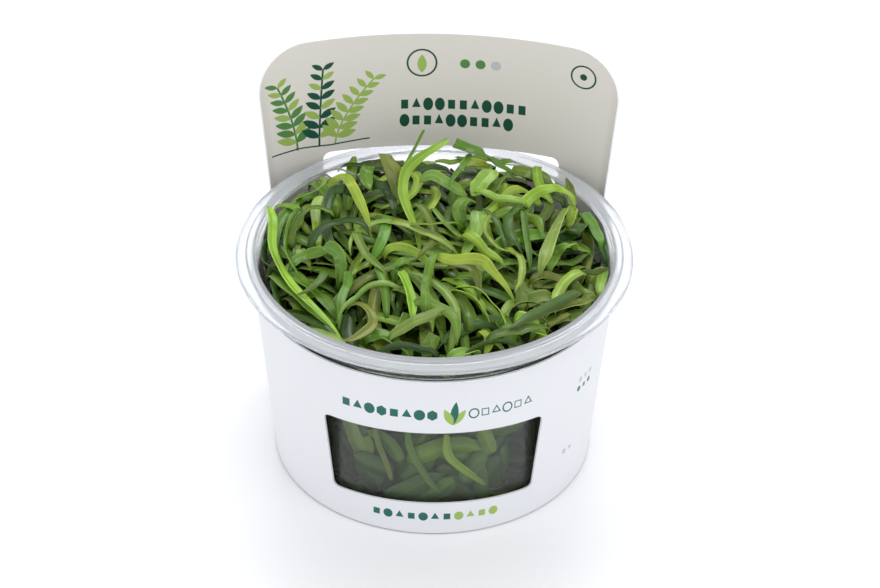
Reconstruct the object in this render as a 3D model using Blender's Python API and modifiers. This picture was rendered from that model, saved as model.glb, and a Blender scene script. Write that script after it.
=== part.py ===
"""Stargrass in a tissue culture cup: a clear plastic cup packed with leafy shoots, in a white card sleeve.

Run it with: blender --background --python part.py
Lengths are millimetres, turned into metres as each mesh is made. The origin is the middle of the
cup's base, +Z is up, and the sleeve's window looks along -Y.
"""

import math

import bmesh
import bpy
from mathutils import Vector

MM = 0.001

# Cup: a drafted round cup with a flat base and a turned-out flange.
CUP_HEIGHT = 58.6
CUP_WALL = 0.8
CUP_FLOOR = 1.0
MOUTH_RADIUS = 44.8
DRAFT_SLOPE = 0.0981
SHOULDER_TOP = 51.5
SHOULDER_LOW = 49.0
BASE_INNER_RADIUS = 39.05
LOWER_SLOPE = 0.025
SHOULDER_DROP = 0.5
FLANGE_RADIUS = 50.0
FLANGE_STEP_RADIUS = 47.5
BEAD_HEIGHT = 0.6
LIP_DEPTH = 1.3
BASE_CORNER = 1.4
CUP_STEPS = 60

# Sleeve: one card, bent round the cup as a cone and bowed flatter at the back, where it stands up as
# a header.
CARD = 0.5
SLEEVE_RADIUS = 45.2
SLEEVE_BOTTOM = 0.4
BAND_TOP = 52.0
HEADER_TOP = 91.9
CONE_DEPTH = 466.0
CREASE_X = 43.9
CREASE_Y = 35.0
CREASE_RADIUS = 5.0
BACK_BOW_RADIUS = 98.0
BACK_MIDDLE_Y = 45.45
HEADER_HALF = 43.2
HEADER_CORNER = 11.5
WINDOW_BOTTOM = 10.8
WINDOW_TOP = 35.0
WINDOW_HALF_TOP = 27.1
WINDOW_HALF_BOTTOM = 24.8
WINDOW_CORNER = 1.5
WINDOW_SAG = 1.2
SLOT_HALF = 30.7
SLOT_TOP = 59.55
SLOT_CORNER = 2.0
OPENINGS_SHIFT = 0.7

# Packed leaves: the mass of leaves under those that lie on top, with a low dome.
HEAP_EDGE = 54.2
HEAP_RISE = 8.2
HEAP_RADIUS = 43.0
BACK_RISE = 4.3
BACK_SPREAD = 10.0
DIP_X = 3.0
DIP_WIDE = 5.0
DIP_DEPTH = 6.0
HEAP_GAP = 1.5
HEAP_LUMP = 0.35
HEAP_SHOULDER = 0.8
HEAP_AROUND = 36
HEAP_RINGS = 16

# Leaves: thin ribbons, each a grid of cells along and across.
LEAF_THICK = 0.4
LEAF_ROWS = 7
LEAF_TIP_SHARE = 0.38
LEAF_LEAST_HALF = 0.28
WALL_CLEAR = 0.65
LEAF_GAP = 0.36
LAYER_CELL = 0.5
FINE_STEP = 0.3
LAY_TRIES = 5

# The camera that took the reference photograph, to place each leaf where it is seen.
PHOTO_FOCAL_PX = 3500.0
PHOTO_MIDDLE_PX = (440.0, 294.0)
PHOTO_DISTANCE = 886.9
PHOTO_AIM = Vector((1.5, 0.0, 45.16))
PHOTO_YAW = math.radians(0.8)
PHOTO_PITCH = math.radians(36.11)
PHOTO_ROLL = math.radians(0.76)

# Tones of leaf: linear colour and roughness.
TONES = {
    "lime": ((0.36, 0.50, 0.05, 1), 0.35),
    "green": ((0.10, 0.24, 0.035, 1), 0.38),
    "dark": ((0.015, 0.06, 0.015, 1), 0.32),
    "olive": ((0.22, 0.25, 0.05, 1), 0.42),
    "pale": ((0.42, 0.50, 0.16, 1), 0.40),
}

# Leaves on top of the heap: tone, width, roll in degrees, and the midrib as seen in the photograph,
# each point as (pixel right, pixel down, height above the dome).
TOP_LEAVES = {
    "left_long": ("lime", 2.4, 0, [
        (269, 207, 9), (273, 220, 8), (273, 246, 4), (282, 268, 1), (294, 286, 1), (314, 306, 1),
        (343, 334, 1)]),
    "left_broad": ("green", 4.4, 0, [(286, 268, 0), (306, 283, 0), (323, 297, 0), (337, 316, 0)]),
    "left_fork": ("green", 2.2, 0, [(348, 271, 4), (348, 282, 3), (342, 298, 1.5), (339, 324, 0.5)]),
    "left_shelf": ("green", 3.0, 20, [(290, 265, 0), (302, 257, 1), (318, 252, 2), (332, 250, 2)]),
    "left_droop": ("green", 3.2, 15, [(324, 246, 4), (336, 251, 4), (341, 263, 2), (338, 283, 0.5)]),
    "dark_hoop": ("dark", 2.8, 10, [
        (353, 195, 4), (344, 189, 6), (333, 192, 5), (327, 208, 3), (327, 228, 1), (333, 246, 0),
        (350, 258, 0)]),
    "hoop_arch": ("lime", 2.6, 20, [
        (328, 187, 4), (336, 180, 5.5), (346, 178, 6), (353, 187, 5), (359, 199, 3), (366, 215, 1.5),
        (371, 233, 0.5)]),
    "left_upright": ("lime", 2.8, 0, [(322, 196, 5), (316, 208, 4), (318, 228, 2), (319, 248, 1)]),
    "left_back_lying": ("green", 2.4, 0, [
        (320, 195, 2), (306, 198, 1.5), (293, 204, 1), (284, 215, 1), (280, 230, 0.5), (277, 248, 0)]),
    "knob": ("green", 3.4, 0, [(369, 166, 8), (366, 176, 6), (370, 190, 3)]),
    "dark_arch": ("dark", 2.6, 20, [
        (362, 188, 3), (371, 184, 5), (384, 187, 5), (392, 199, 2.5), (395, 216, 0.5)]),
    "cut_olive": ("olive", 4.6, 0, [(385, 154, 12), (393, 170, 9), (400, 188, 5), (404, 204, 2)]),
    "grass_tip": ("green", 1.3, 0, [
        (424, 130, 13), (417, 144, 10), (410, 157, 8), (405, 168, 6), (402, 180, 4)]),
    "tall_arc": ("lime", 2.8, 10, [
        (448, 139, 16), (436, 147, 15), (419, 158, 12), (406, 172, 9), (403, 192, 6), (409, 212, 3),
        (417, 232, 1), (420, 250, 0)]),
    "back_fold": ("pale", 3.2, 25, [
        (420, 180, 5), (432, 175, 7), (446, 182, 6), (458, 190, 4), (469, 198, 2)]),
    "back_dark": ("green", 2.6, 25, [
        (455, 143, 12), (469, 148, 12), (483, 153, 11), (492, 161, 8), (505, 168, 6), (513, 173, 5)]),
    "back_yellow": ("lime", 2.6, 20, [(460, 165, 6), (474, 162, 7), (490, 167, 6)]),
    "right_back": ("olive", 3.6, 20, [(512, 169, 5), (530, 173, 6), (548, 179, 5), (560, 188, 2)]),
    "up_leaf": ("green", 2.4, 0, [(508, 174, 7), (496, 184, 5), (486, 198, 3)]),
    "wide_back": ("pale", 4.2, 0, [(494, 170, 8), (482, 182, 6), (472, 196, 3)]),
    "oval_knob": ("green", 3.4, 10, [(462, 224, 1), (459, 208, 4), (466, 200, 5), (476, 203, 4)]),
    "pale_oval": ("pale", 4.2, 0, [(477, 211, 3), (478, 227, 2), (471, 242, 1), (463, 256, 0)]),
    "right_small_hoop": ("lime", 2.2, 20, [(500, 207, 1), (507, 194, 4), (518, 189, 5), (530, 193, 3)]),
    "right_arch": ("lime", 3.0, 20, [
        (516, 217, 1), (527, 201, 4), (541, 191, 6), (556, 189, 6), (568, 196, 4), (574, 205, 2)]),
    "right_oval": ("lime", 2.8, 0, [(573, 207, 4), (571, 216, 3), (569, 228, 1)]),
    "right_blade": ("pale", 3.4, 0, [
        (566, 208, 6), (558, 222, 4), (550, 241, 3), (544, 257, 1.5), (539, 273, 0)]),
    "right_pale": ("pale", 3.0, 0, [(574, 243, 1), (560, 248, 2), (552, 260, 1.5), (550, 270, 0)]),
    "right_lying": ("green", 3.6, 20, [(552, 234, 0.5), (524, 236, 1), (502, 244, 1), (487, 258, 0)]),
    "right_edge_twist": ("green", 2.8, 0, [(583, 209, 2), (590, 222, 2), (597, 235, 1), (599, 246, 0)]),
    "right_dark_broad": ("dark", 3.6, 10, [(583, 222, 1), (571, 234, 1), (557, 242, 0)]),
    "right_rim_curl": ("dark", 2.8, 0, [(598, 224, 0), (605, 233, 2), (609, 245, 2), (608, 262, 0)]),
    "right_rim_bright": ("lime", 2.6, 0, [(604, 266, 0), (606, 280, 0), (600, 296, 0)]),
    "right_hook": ("olive", 2.4, 10, [
        (586, 265, 1), (575, 269, 2), (573, 281, 1.5), (582, 290, 1), (597, 293, 0)]),
    "right_v": ("olive", 3.0, 0, [(519, 280, 3), (521, 293, 2), (522, 311, 0.5)]),
    "centre_arch": ("green", 2.2, 20, [(395, 277, 0), (395, 267, 2), (402, 261, 3), (412, 263, 2)]),
    "centre_flag": ("lime", 2.8, 0, [(401, 271, 3), (407, 284, 2.5), (412, 300, 1.5), (413, 320, 0)]),
    "centre_left_v": ("green", 2.8, 0, [(387, 216, 3), (385, 232, 3), (379, 247, 2), (370, 263, 0)]),
    "centre_branch": ("lime", 2.2, 20, [
        (384, 251, 2), (395, 247, 3), (410, 250, 3), (424, 259, 2), (434, 272, 0)]),
    "centre_claw": ("lime", 2.8, 20, [
        (437, 256, 3), (452, 260, 4.5), (470, 259, 5.5), (483, 261, 5), (494, 273, 3.5), (515, 296, 1)]),
    "claw_droop": ("olive", 2.4, 20, [
        (446, 265, 1), (460, 264, 2), (472, 268, 2.5), (478, 280, 1.5), (479, 296, 0)]),
    "back_stalk": ("green", 1.6, 0, [(471, 154, 10), (463, 165, 8.5), (454, 177, 6), (449, 188, 3)]),
    "right_tip": ("olive", 2.4, 0, [(572, 206, 2.5), (571, 193, 5.5), (566, 178, 9)]),
    "front_ring": ("olive", 2.4, 0, [
        (345, 306, 0.5), (360, 304, 2), (371, 313, 3), (372, 325, 3), (358, 336, 4), (334, 347, 6)]),
    "front_left_lying": ("green", 4.0, 0, [(364, 336, 0.5), (384, 335, 1), (399, 345, 1), (412, 357, 0)]),
    "front_grey": ("olive", 2.2, 0, [(408, 311, 1), (402, 324, 1), (393, 338, 0)]),
    "front_stub": ("green", 3.4, 0, [(436, 333, 2), (430, 345, 1), (424, 356, 0)]),
    "front_hook": ("lime", 2.2, 0, [(479, 329, 1), (487, 335, 2), (489, 344, 1.5), (484, 357, 0)]),
    "front_oval": ("pale", 3.0, 15, [(477, 350, 1), (462, 352, 2), (448, 358, 1)]),
    "front_glassy": ("green", 3.6, 0, [(498, 317, 1), (508, 328, 1), (512, 346, 0)]),
    "front_bright": ("lime", 4.4, 10, [(513, 317, 1), (527, 322, 2), (540, 330, 2), (550, 336, 1)]),
    "front_sprout": ("olive", 1.8, 10, [(547, 326, 1), (558, 319, 2), (571, 312, 2)]),
    "right_olive": ("olive", 3.4, 20, [(524, 303, 0.5), (540, 297, 1), (556, 296, 0.5)]),
    "right_olive_arch": ("olive", 2.6, 20, [(528, 280, 0), (545, 275, 2), (560, 280, 1), (565, 292, 0)]),
    "front_right_lying": ("pale", 3.2, 10, [(545, 311, 0), (570, 305, 0.5), (594, 297, 0)]),
}
CUT_LEAVES = ("cut_olive", "knob", "back_dark", "front_stub")

# Leaves pressed against the wall behind the sleeve's window: tone, width, and the midrib as
# (azimuth from the front in degrees, height).
WINDOW_LEAVES = {
    "window_strip_left": ("olive", 2.0, [(-20, 31), (-19, 26), (-16, 20), (-14, 15)]),
    "window_strip_middle": ("green", 1.8, [(-8, 33), (-7, 26), (-1, 17), (4, 12)]),
    "window_strip_right": ("lime", 2.2, [(6, 31), (7, 24), (14, 18), (21, 13)]),
}


def clear_scene():
    for obj in list(bpy.data.objects):
        bpy.data.objects.remove(obj, do_unlink=True)


def collection(name, rendered=True):
    made = bpy.data.collections.new(name)
    made.hide_render = not rendered
    bpy.context.scene.collection.children.link(made)
    return made


def finish_material(name, colour, roughness, alpha=1.0, transmission=0.0):
    made = bpy.data.materials.new(name)
    made.use_nodes = True
    shader = made.node_tree.nodes["Principled BSDF"]
    shader.inputs["Base Color"].default_value = colour
    shader.inputs["Roughness"].default_value = roughness
    shader.inputs["Metallic"].default_value = 0.0
    shader.inputs["Alpha"].default_value = alpha
    shader.inputs["Transmission Weight"].default_value = transmission
    return made


def object_from(mesh_data, name, group, look=None):
    """An object in its collection, from a bmesh in millimetres."""
    bmesh.ops.scale(mesh_data, vec=(MM, MM, MM), verts=mesh_data.verts)
    mesh = bpy.data.meshes.new(name)
    mesh_data.to_mesh(mesh)
    mesh_data.free()
    made = bpy.data.objects.new(name, mesh)
    if look is not None:
        mesh.materials.append(look)
    group.objects.link(made)
    return made


def smooth(obj, angle=30):
    obj.data.shade_smooth()
    obj.data.set_sharp_from_angle(angle=math.radians(angle))


def arc(middle_x, middle_z, radius, start, end, steps):
    """Points of an arc, from start to end in degrees."""
    points = []
    for step in range(steps + 1):
        angle = math.radians(start + (end - start) * step / steps)
        points.append((middle_x + radius * math.cos(angle), middle_z + radius * math.sin(angle)))
    return points


def cup_inner_radius(height):
    """The wall flares above its shoulder, and stands nearly upright below it, clear of the sleeve."""
    if height >= SHOULDER_TOP:
        return MOUTH_RADIUS - (CUP_HEIGHT - height) * DRAFT_SLOPE
    if height <= SHOULDER_LOW:
        return BASE_INNER_RADIUS + height * LOWER_SLOPE
    low = cup_inner_radius(SHOULDER_LOW)
    up_shoulder = (height - SHOULDER_LOW) / (SHOULDER_TOP - SHOULDER_LOW)
    return low + (cup_inner_radius(SHOULDER_TOP) - low) * up_shoulder


def cone_scale(height):
    """How much larger the sleeve is at a height than at the band's top edge."""
    return (height - BAND_TOP + CONE_DEPTH) / CONE_DEPTH


def dome_height(x, y):
    """The low dome from which the heights of the leaves on top are counted."""
    share = (x * x + y * y) / HEAP_RADIUS**2
    return HEAP_EDGE + HEAP_RISE * (1 - share)


def heap_height(x, y):
    """Top of the packed leaves, without its lumps: fuller along the back, with a dip at the wall there."""
    share = (x * x + y * y) / HEAP_RADIUS**2
    behind = 0.5 + 0.5 * y / (y * y + BACK_SPREAD**2) ** 0.5
    from_dip = ((x - DIP_X) ** 2 + (y - HEAP_RADIUS) ** 2) / DIP_WIDE**2
    return dome_height(x, y) + BACK_RISE * share * behind - DIP_DEPTH / (1 + from_dip) ** 2


def add_cup(group):
    """The cup, turned from one closed profile that runs from the inner floor up, over the rim and down."""
    inner_low = CUP_FLOOR + BASE_CORNER
    outer_low = BASE_CORNER
    bead_top = CUP_HEIGHT + BEAD_HEIGHT
    under = CUP_HEIGHT - CUP_WALL
    profile = [(0, CUP_FLOOR)]
    profile.append((cup_inner_radius(CUP_FLOOR) - BASE_CORNER, CUP_FLOOR))
    for height in (inner_low, SHOULDER_LOW, SHOULDER_TOP, CUP_HEIGHT - 0.4):
        profile.append((cup_inner_radius(height), height))
    profile += arc(MOUTH_RADIUS + BEAD_HEIGHT, CUP_HEIGHT, BEAD_HEIGHT, 150, 90, 2)
    profile.append((FLANGE_STEP_RADIUS - 0.5, bead_top))
    profile.append((FLANGE_STEP_RADIUS, CUP_HEIGHT))
    profile.append((FLANGE_RADIUS - 0.5, CUP_HEIGHT))
    profile.append((FLANGE_RADIUS, CUP_HEIGHT - 0.5))
    profile.append((FLANGE_RADIUS, CUP_HEIGHT - LIP_DEPTH))
    profile.append((FLANGE_RADIUS - CUP_WALL, CUP_HEIGHT - LIP_DEPTH))
    profile.append((FLANGE_RADIUS - CUP_WALL, under))
    profile.append((cup_inner_radius(under) + CUP_WALL, under))
    for height in (SHOULDER_TOP, SHOULDER_LOW):
        profile.append((cup_inner_radius(height) + CUP_WALL, height - SHOULDER_DROP))
    profile.append((cup_inner_radius(outer_low) + CUP_WALL, outer_low))
    profile.append((cup_inner_radius(0) + CUP_WALL - BASE_CORNER, 0))
    profile.append((0, 0))
    cage = bmesh.new()
    corners = [cage.verts.new((x, 0, z)) for x, z in profile]
    for first, second in zip(corners, corners[1:]):
        cage.edges.new((first, second))
    look = finish_material("clear_plastic", (0.86, 0.90, 0.93, 1), 0.12, 0.35, 0.9)
    cup = object_from(cage, "cup", group, look)
    turn = cup.modifiers.new("turn", "SCREW")
    turn.axis = "Z"
    turn.steps = CUP_STEPS
    turn.render_steps = CUP_STEPS
    turn.use_merge_vertices = True
    turn.merge_threshold = 0.0001
    turn.use_smooth_shade = True
    return cup


def sleeve_section():
    """The card's inner outline at the height of the band's top edge, once round, from the front."""
    far = math.hypot(CREASE_X, CREASE_Y)
    leave = math.degrees(math.atan2(CREASE_Y, CREASE_X) - math.acos(SLEEVE_RADIUS / far))
    half = arc(0, 0, SLEEVE_RADIUS, -90, leave, 26)
    side = Vector((CREASE_X, CREASE_Y)) - Vector(half[-1])
    side.normalize()
    bow_middle = Vector((0, BACK_MIDDLE_Y - BACK_BOW_RADIUS))
    back_angle = math.asin(CREASE_X / BACK_BOW_RADIUS)
    back = Vector((-math.cos(back_angle), math.sin(back_angle)))
    corner = bow_middle + BACK_BOW_RADIUS * Vector((math.sin(back_angle), math.cos(back_angle)))
    turn = side.angle(back)
    reach = CREASE_RADIUS * math.tan(turn / 2)
    start = corner - side * reach
    middle = start + Vector((-side.y, side.x)) * CREASE_RADIUS
    first = math.degrees(math.atan2(start.y - middle.y, start.x - middle.x))
    half += arc(middle.x, middle.y, CREASE_RADIUS, first, first + math.degrees(turn), 5)
    end_angle = math.asin(half[-1][0] / BACK_BOW_RADIUS)
    for step in range(1, 13):
        angle = end_angle * (1 - step / 12)
        half.append((BACK_BOW_RADIUS * math.sin(angle), bow_middle.y + BACK_BOW_RADIUS * math.cos(angle)))
    return half + [(-x, y) for x, y in reversed(half[1:-1])]


def rounded_outline(corners, radius, steps=4):
    """Corner points (x, z), each rounded by its own radius where one is given in the list."""
    outline = []
    count = len(corners)
    for index, corner in enumerate(corners):
        point = Vector(corner)
        before = (Vector(corners[index - 1]) - point).normalized()
        after = (Vector(corners[(index + 1) % count]) - point).normalized()
        if radius[index] == 0:
            outline.append(tuple(point))
            continue
        half = before.angle(after) / 2
        middle = point + (before + after).normalized() * radius[index] / math.sin(half)
        first = point + before * radius[index] / math.tan(half) - middle
        last = point + after * radius[index] / math.tan(half) - middle
        for step in range(steps + 1):
            mixed = first.slerp(last, step / steps)
            outline.append(tuple(middle + mixed.normalized() * radius[index]))
    return outline


def window_outline():
    """The window's outline: a keystone with round corners, its long edges sagging toward their ends."""
    low = [(WINDOW_HALF_BOTTOM * step / 4, WINDOW_BOTTOM) for step in range(-4, 5)]
    high = [(WINDOW_HALF_TOP * step / 4, WINDOW_TOP) for step in range(4, -5, -1)]
    radii = ([WINDOW_CORNER] + [0] * 7 + [WINDOW_CORNER]) * 2
    outline = []
    for x, z in rounded_outline(low + high, radii):
        outline.append((x + OPENINGS_SHIFT, z - WINDOW_SAG * (x / WINDOW_HALF_TOP) ** 2))
    return outline


def add_cutter(name, outline, low_y, high_y, group):
    """A prism along Y with this outline in X and Z."""
    prism = bmesh.new()
    face = prism.faces.new([prism.verts.new((x, low_y, z)) for x, z in outline])
    grown = bmesh.ops.extrude_face_region(prism, geom=[face])
    moved = [item for item in grown["geom"] if isinstance(item, bmesh.types.BMVert)]
    bmesh.ops.translate(prism, vec=(0, high_y - low_y, 0), verts=moved)
    bmesh.ops.recalc_face_normals(prism, faces=prism.faces)
    cutter = object_from(prism, name, group)
    cutter.display_type = "WIRE"
    return cutter


def add_sleeve(group, cutters):
    """The card sleeve: a cone wall with a D section, cut to the band, the header, the window and the slot."""
    section = sleeve_section()
    wall = bmesh.new()
    rings = []
    for height in (SLEEVE_BOTTOM, BAND_TOP, HEADER_TOP + 2):
        scale = cone_scale(height)
        rings.append([wall.verts.new((x * scale, y * scale, height)) for x, y in section])
    for low, high in zip(rings, rings[1:]):
        for index in range(len(section)):
            after = (index + 1) % len(section)
            wall.faces.new((low[index], low[after], high[after], high[index]))
    look = finish_material("white_card", (0.80, 0.79, 0.76, 1), 0.55)
    sleeve = object_from(wall, "sleeve", group, look)
    thicken = sleeve.modifiers.new("card", "SOLIDIFY")
    thicken.thickness = CARD * MM
    thicken.offset = 1
    far = FLANGE_RADIUS + 10
    header_half_low = HEADER_HALF * cone_scale(BAND_TOP)
    header_half_high = HEADER_HALF * cone_scale(HEADER_TOP)
    above = HEADER_TOP + 8
    front_corners = [(-far, BAND_TOP), (far, BAND_TOP), (far, above), (-far, above)]
    front = add_cutter("cut_front", front_corners, -far, SLOT_HALF / 2, cutters)
    top_corners = [
        (-far, BAND_TOP),
        (-header_half_low, BAND_TOP),
        (-header_half_high, HEADER_TOP),
        (header_half_high, HEADER_TOP),
        (header_half_low, BAND_TOP),
        (far, BAND_TOP),
        (far, above),
        (-far, above),
    ]
    top_radii = [0, 0.6, HEADER_CORNER, HEADER_CORNER, 0.6, 0, 0, 0]
    top = add_cutter("cut_header", rounded_outline(top_corners, top_radii, 6), 0, far + 10, cutters)
    slot_corners = [
        (OPENINGS_SHIFT - SLOT_HALF, BAND_TOP),
        (OPENINGS_SHIFT + SLOT_HALF, BAND_TOP),
        (OPENINGS_SHIFT + SLOT_HALF, SLOT_TOP),
        (OPENINGS_SHIFT - SLOT_HALF, SLOT_TOP),
    ]
    slot = add_cutter("cut_slot", rounded_outline(slot_corners, [SLOT_CORNER] * 4), 0, far + 10, cutters)
    window = add_cutter("cut_window", window_outline(), -far, 0, cutters)
    for cutter in (front, top, slot, window):
        cut = sleeve.modifiers.new(cutter.name, "BOOLEAN")
        cut.operation = "DIFFERENCE"
        cut.solver = "EXACT"
        cut.object = cutter
    return sleeve


def lump(x, y):
    """Small uneven rise of the heap, from crossed waves."""
    return HEAP_LUMP * (math.sin(0.55 * x + 0.3 * y) + math.sin(0.62 * y - 0.21 * x + 1.3) - 2) / 2


def add_packed_leaves(group):
    """The packed mass of leaves: a sphere grid drawn out to fill the cup and to dome over it."""
    ball = bmesh.new()
    bmesh.ops.create_uvsphere(ball, u_segments=HEAP_AROUND, v_segments=HEAP_RINGS, radius=1)
    floor_z = CUP_FLOOR + 0.3
    corner_z = floor_z + 2.4
    side_heights = (SHOULDER_TOP, SHOULDER_LOW, (SHOULDER_LOW + corner_z) / 2, corner_z)
    top_rings = HEAP_RINGS // 2
    floor_rings = top_rings - len(side_heights)
    for vert in ball.verts:
        around = math.atan2(vert.co.y, vert.co.x)
        ring = round(math.acos(max(-1, min(1, vert.co.z))) / math.pi * HEAP_RINGS)
        if ring <= top_rings:
            reach = min(1, ring / (top_rings - 1)) * (cup_inner_radius(HEAP_EDGE) - HEAP_GAP)
        elif ring <= top_rings + len(side_heights):
            z = side_heights[ring - top_rings - 1]
            reach = cup_inner_radius(z) - HEAP_GAP
        else:
            z = floor_z
            reach = (cup_inner_radius(corner_z) - HEAP_GAP - 1.6) * (HEAP_RINGS - ring) / floor_rings
        x = reach * math.cos(around)
        y = reach * math.sin(around)
        if ring <= top_rings:
            z = heap_height(x, y) + lump(x, y) - (HEAP_SHOULDER if ring == top_rings else 0)
        vert.co = (x, y, z)
    colour, roughness = TONES["dark"]
    heap = object_from(ball, "packed_leaves", group, finish_material("leaf_mass", colour, roughness))
    smooth(heap, 40)
    return heap


def photo_ray(right_px, down_px):
    """Where the camera is, and the direction in which it sees this pixel."""
    level = math.cos(PHOTO_PITCH)
    back = Vector((math.sin(PHOTO_YAW) * level, -math.cos(PHOTO_YAW) * level, math.sin(PHOTO_PITCH)))
    right = Vector((math.cos(PHOTO_YAW), math.sin(PHOTO_YAW), 0))
    up = back.cross(right)
    turned_right = right * math.cos(PHOTO_ROLL) + up * math.sin(PHOTO_ROLL)
    turned_up = up * math.cos(PHOTO_ROLL) - right * math.sin(PHOTO_ROLL)
    across = (right_px - PHOTO_MIDDLE_PX[0]) / PHOTO_FOCAL_PX
    upward = (PHOTO_MIDDLE_PX[1] - down_px) / PHOTO_FOCAL_PX
    return PHOTO_AIM + back * PHOTO_DISTANCE, turned_right * across + turned_up * upward - back


def seen_point(right_px, down_px, lift):
    """The point seen at this pixel, at this height above the dome."""
    eye, way = photo_ray(right_px, down_px)
    near = PHOTO_DISTANCE * 0.85
    far = PHOTO_DISTANCE * 1.1
    for _ in range(30):
        middle = (near + far) / 2
        point = eye + way * middle
        if point.z > dome_height(point.x, point.y) + lift + LEAF_THICK:
            near = middle
        else:
            far = middle
    return eye + way * far


def spline_point(points, share):
    """A point on the smooth curve through these points, share being 0 at the first and 1 at the last."""
    place = share * (len(points) - 1)
    index = min(int(place), len(points) - 2)
    part = place - index
    first = points[max(index - 1, 0)]
    second = points[index]
    third = points[index + 1]
    fourth = points[min(index + 2, len(points) - 1)]
    bend = 2 * first - 5 * second + 4 * third - fourth
    turn = 3 * (second - third) + fourth - first
    return 0.5 * (2 * second + (third - first) * part + bend * part**2 + turn * part**3)


def half_width(width, share, cut=False):
    """Half the leaf's width: narrow where it leaves the stem, unless cut there, and pointed at the tip."""
    foot = 1.0 if cut else min(1.0, 0.45 + share * 2.2)
    end = max(0.0, min(1.0, (1.02 - share) / LEAF_TIP_SHARE)) ** 0.7
    return max(LEAF_LEAST_HALF, 0.5 * width * foot * (0.12 + 0.88 * end))


def ribbon_rows(points, width, roll, cut=False):
    """Rows of three points, left, middle and right, along a leaf whose broad side faces up."""
    rows = []
    side = None
    for step in range(LEAF_ROWS + 1):
        share = step / LEAF_ROWS
        here = spline_point(points, share)
        ahead = spline_point(points, min(1, share + 0.02)) - spline_point(points, max(0, share - 0.02))
        ahead.normalize()
        level = ahead.cross(Vector((0, 0, 1)))
        if level.length > 0.35:
            level.normalize()
        elif side is not None:
            level = (side - ahead * side.dot(ahead)).normalized()
        else:
            level = Vector((1, 0, 0))
        if side is not None and level.dot(side) < 0:
            level.negate()
        side = level
        normal = ahead.cross(level)
        sense = 1 if normal.z > 0 else -1
        tilt = math.radians(roll) * (1 if level.y < 0 else -1)
        across = level * math.cos(tilt) - normal * sense * math.sin(tilt)
        half = half_width(width, share, cut)
        rows.append([here - across * half, here.copy(), here + across * half])
    return rows


class Layers:
    """How high the leaves laid so far reach over each small cell, so that the next lies on them."""

    def __init__(self):
        self.tops = {}

    def cell(self, x, y):
        return round(x / LAYER_CELL), round(y / LAYER_CELL)

    def top(self, x, y):
        across, along = self.cell(x, y)
        highest = heap_height(x, y) + LEAF_THICK * 0.2
        reach = math.hypot(x, y)
        if reach > MOUTH_RADIUS - 0.4:
            highest = CUP_HEIGHT + BEAD_HEIGHT
        for shift_x in (-1, 0, 1):
            for shift_y in (-1, 0, 1):
                laid = self.tops.get((across + shift_x, along + shift_y))
                if laid is not None and laid > highest:
                    highest = laid
        return highest

    def lay(self, rows):
        for x, y, z, _ in fine_points(rows):
            cell = self.cell(x, y)
            self.tops[cell] = max(self.tops.get(cell, -1), z + LEAF_THICK / 2)


def fine_points(rows):
    """Points close together all over a ribbon, each with its place along, counted in rows."""
    for index in range(len(rows) - 1):
        first = rows[index]
        second = rows[index + 1]
        along_steps = max(2, math.ceil((second[1] - first[1]).length / FINE_STEP))
        across_steps = max(2, math.ceil((first[2] - first[0]).length / FINE_STEP))
        for along_step in range(along_steps + 1):
            along = along_step / along_steps
            line = [a.lerp(b, along) for a, b in zip(first, second)]
            for across_step in range(across_steps + 1):
                across = across_step / across_steps * 2
                if across <= 1:
                    point = line[0].lerp(line[1], across)
                else:
                    point = line[1].lerp(line[2], across - 1)
                yield point.x, point.y, point.z, index + along


def keep_in_mouth(rows):
    """Rows below the flange move inwards, whole, till they are clear of the cup's wall."""
    over_flange = CUP_HEIGHT + BEAD_HEIGHT + LEAF_GAP
    for row in rows:
        inward = 0.0
        for point in row:
            most = cup_inner_radius(min(point.z, CUP_HEIGHT)) - WALL_CLEAR
            if point.z < over_flange + 1:
                inward = max(inward, math.hypot(point.x, point.y) - most)
        way = Vector((row[1].x, row[1].y, 0)).normalized()
        for point in row:
            point -= way * inward


def lay_leaf(layers, points, width, roll, cut=False):
    """A leaf's rows, drawn up towards the camera where they would sink into what is already laid."""
    rows = ribbon_rows(points, width, roll, cut)
    steep = math.tan(PHOTO_PITCH)
    towards = Vector((math.sin(PHOTO_YAW), -math.cos(PHOTO_YAW), steep)) / steep
    for attempt in range(LAY_TRIES):
        keep_in_mouth(rows)
        need = [0.0] * len(rows)
        for x, y, z, place in fine_points(rows):
            short = layers.top(x, y) + LEAF_GAP + LEAF_THICK / 2 - z
            if short > 0:
                for index in (math.floor(place), math.ceil(place)):
                    need[index] = max(need[index], short)
        beside = [0.0] + need + [0.0]
        need = [max(own, (beside[index] + beside[index + 2]) / 2) for index, own in enumerate(need)]
        way = towards if attempt < LAY_TRIES - 1 else Vector((0, 0, 1))
        for row, raised in zip(rows, need):
            for point in row:
                point += way * raised
    layers.lay(rows)
    return rows


def add_leaf(name, rows, look, group):
    """A leaf blade: a grid bent to the rows and thickened."""
    grid = bmesh.new()
    bmesh.ops.create_grid(grid, x_segments=len(rows) - 1, y_segments=2, size=1)
    for vert in grid.verts:
        row = round((vert.co.x + 1) / 2 * (len(rows) - 1))
        column = round(vert.co.y + 1)
        vert.co = rows[row][column]
    leaf = object_from(grid, name, group, look)
    thicken = leaf.modifiers.new("blade", "SOLIDIFY")
    thicken.thickness = LEAF_THICK * MM
    thicken.offset = 0
    smooth(leaf, 50)
    return leaf


def add_top_leaves(group, looks):
    """The leaves that lie on the heap, laid from the lowest to the highest."""
    paths = {}
    for name, (_, _, _, seen) in TOP_LEAVES.items():
        paths[name] = [seen_point(*place) for place in seen]
    order = sorted(paths, key=lambda name: sum(point.z for point in paths[name]) / len(paths[name]))
    layers = Layers()
    for name in order:
        tone, width, roll, _ = TOP_LEAVES[name]
        rows = lay_leaf(layers, paths[name], width, roll, name in CUT_LEAVES)
        add_leaf("leaf_" + name, rows, looks[tone], group)


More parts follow.
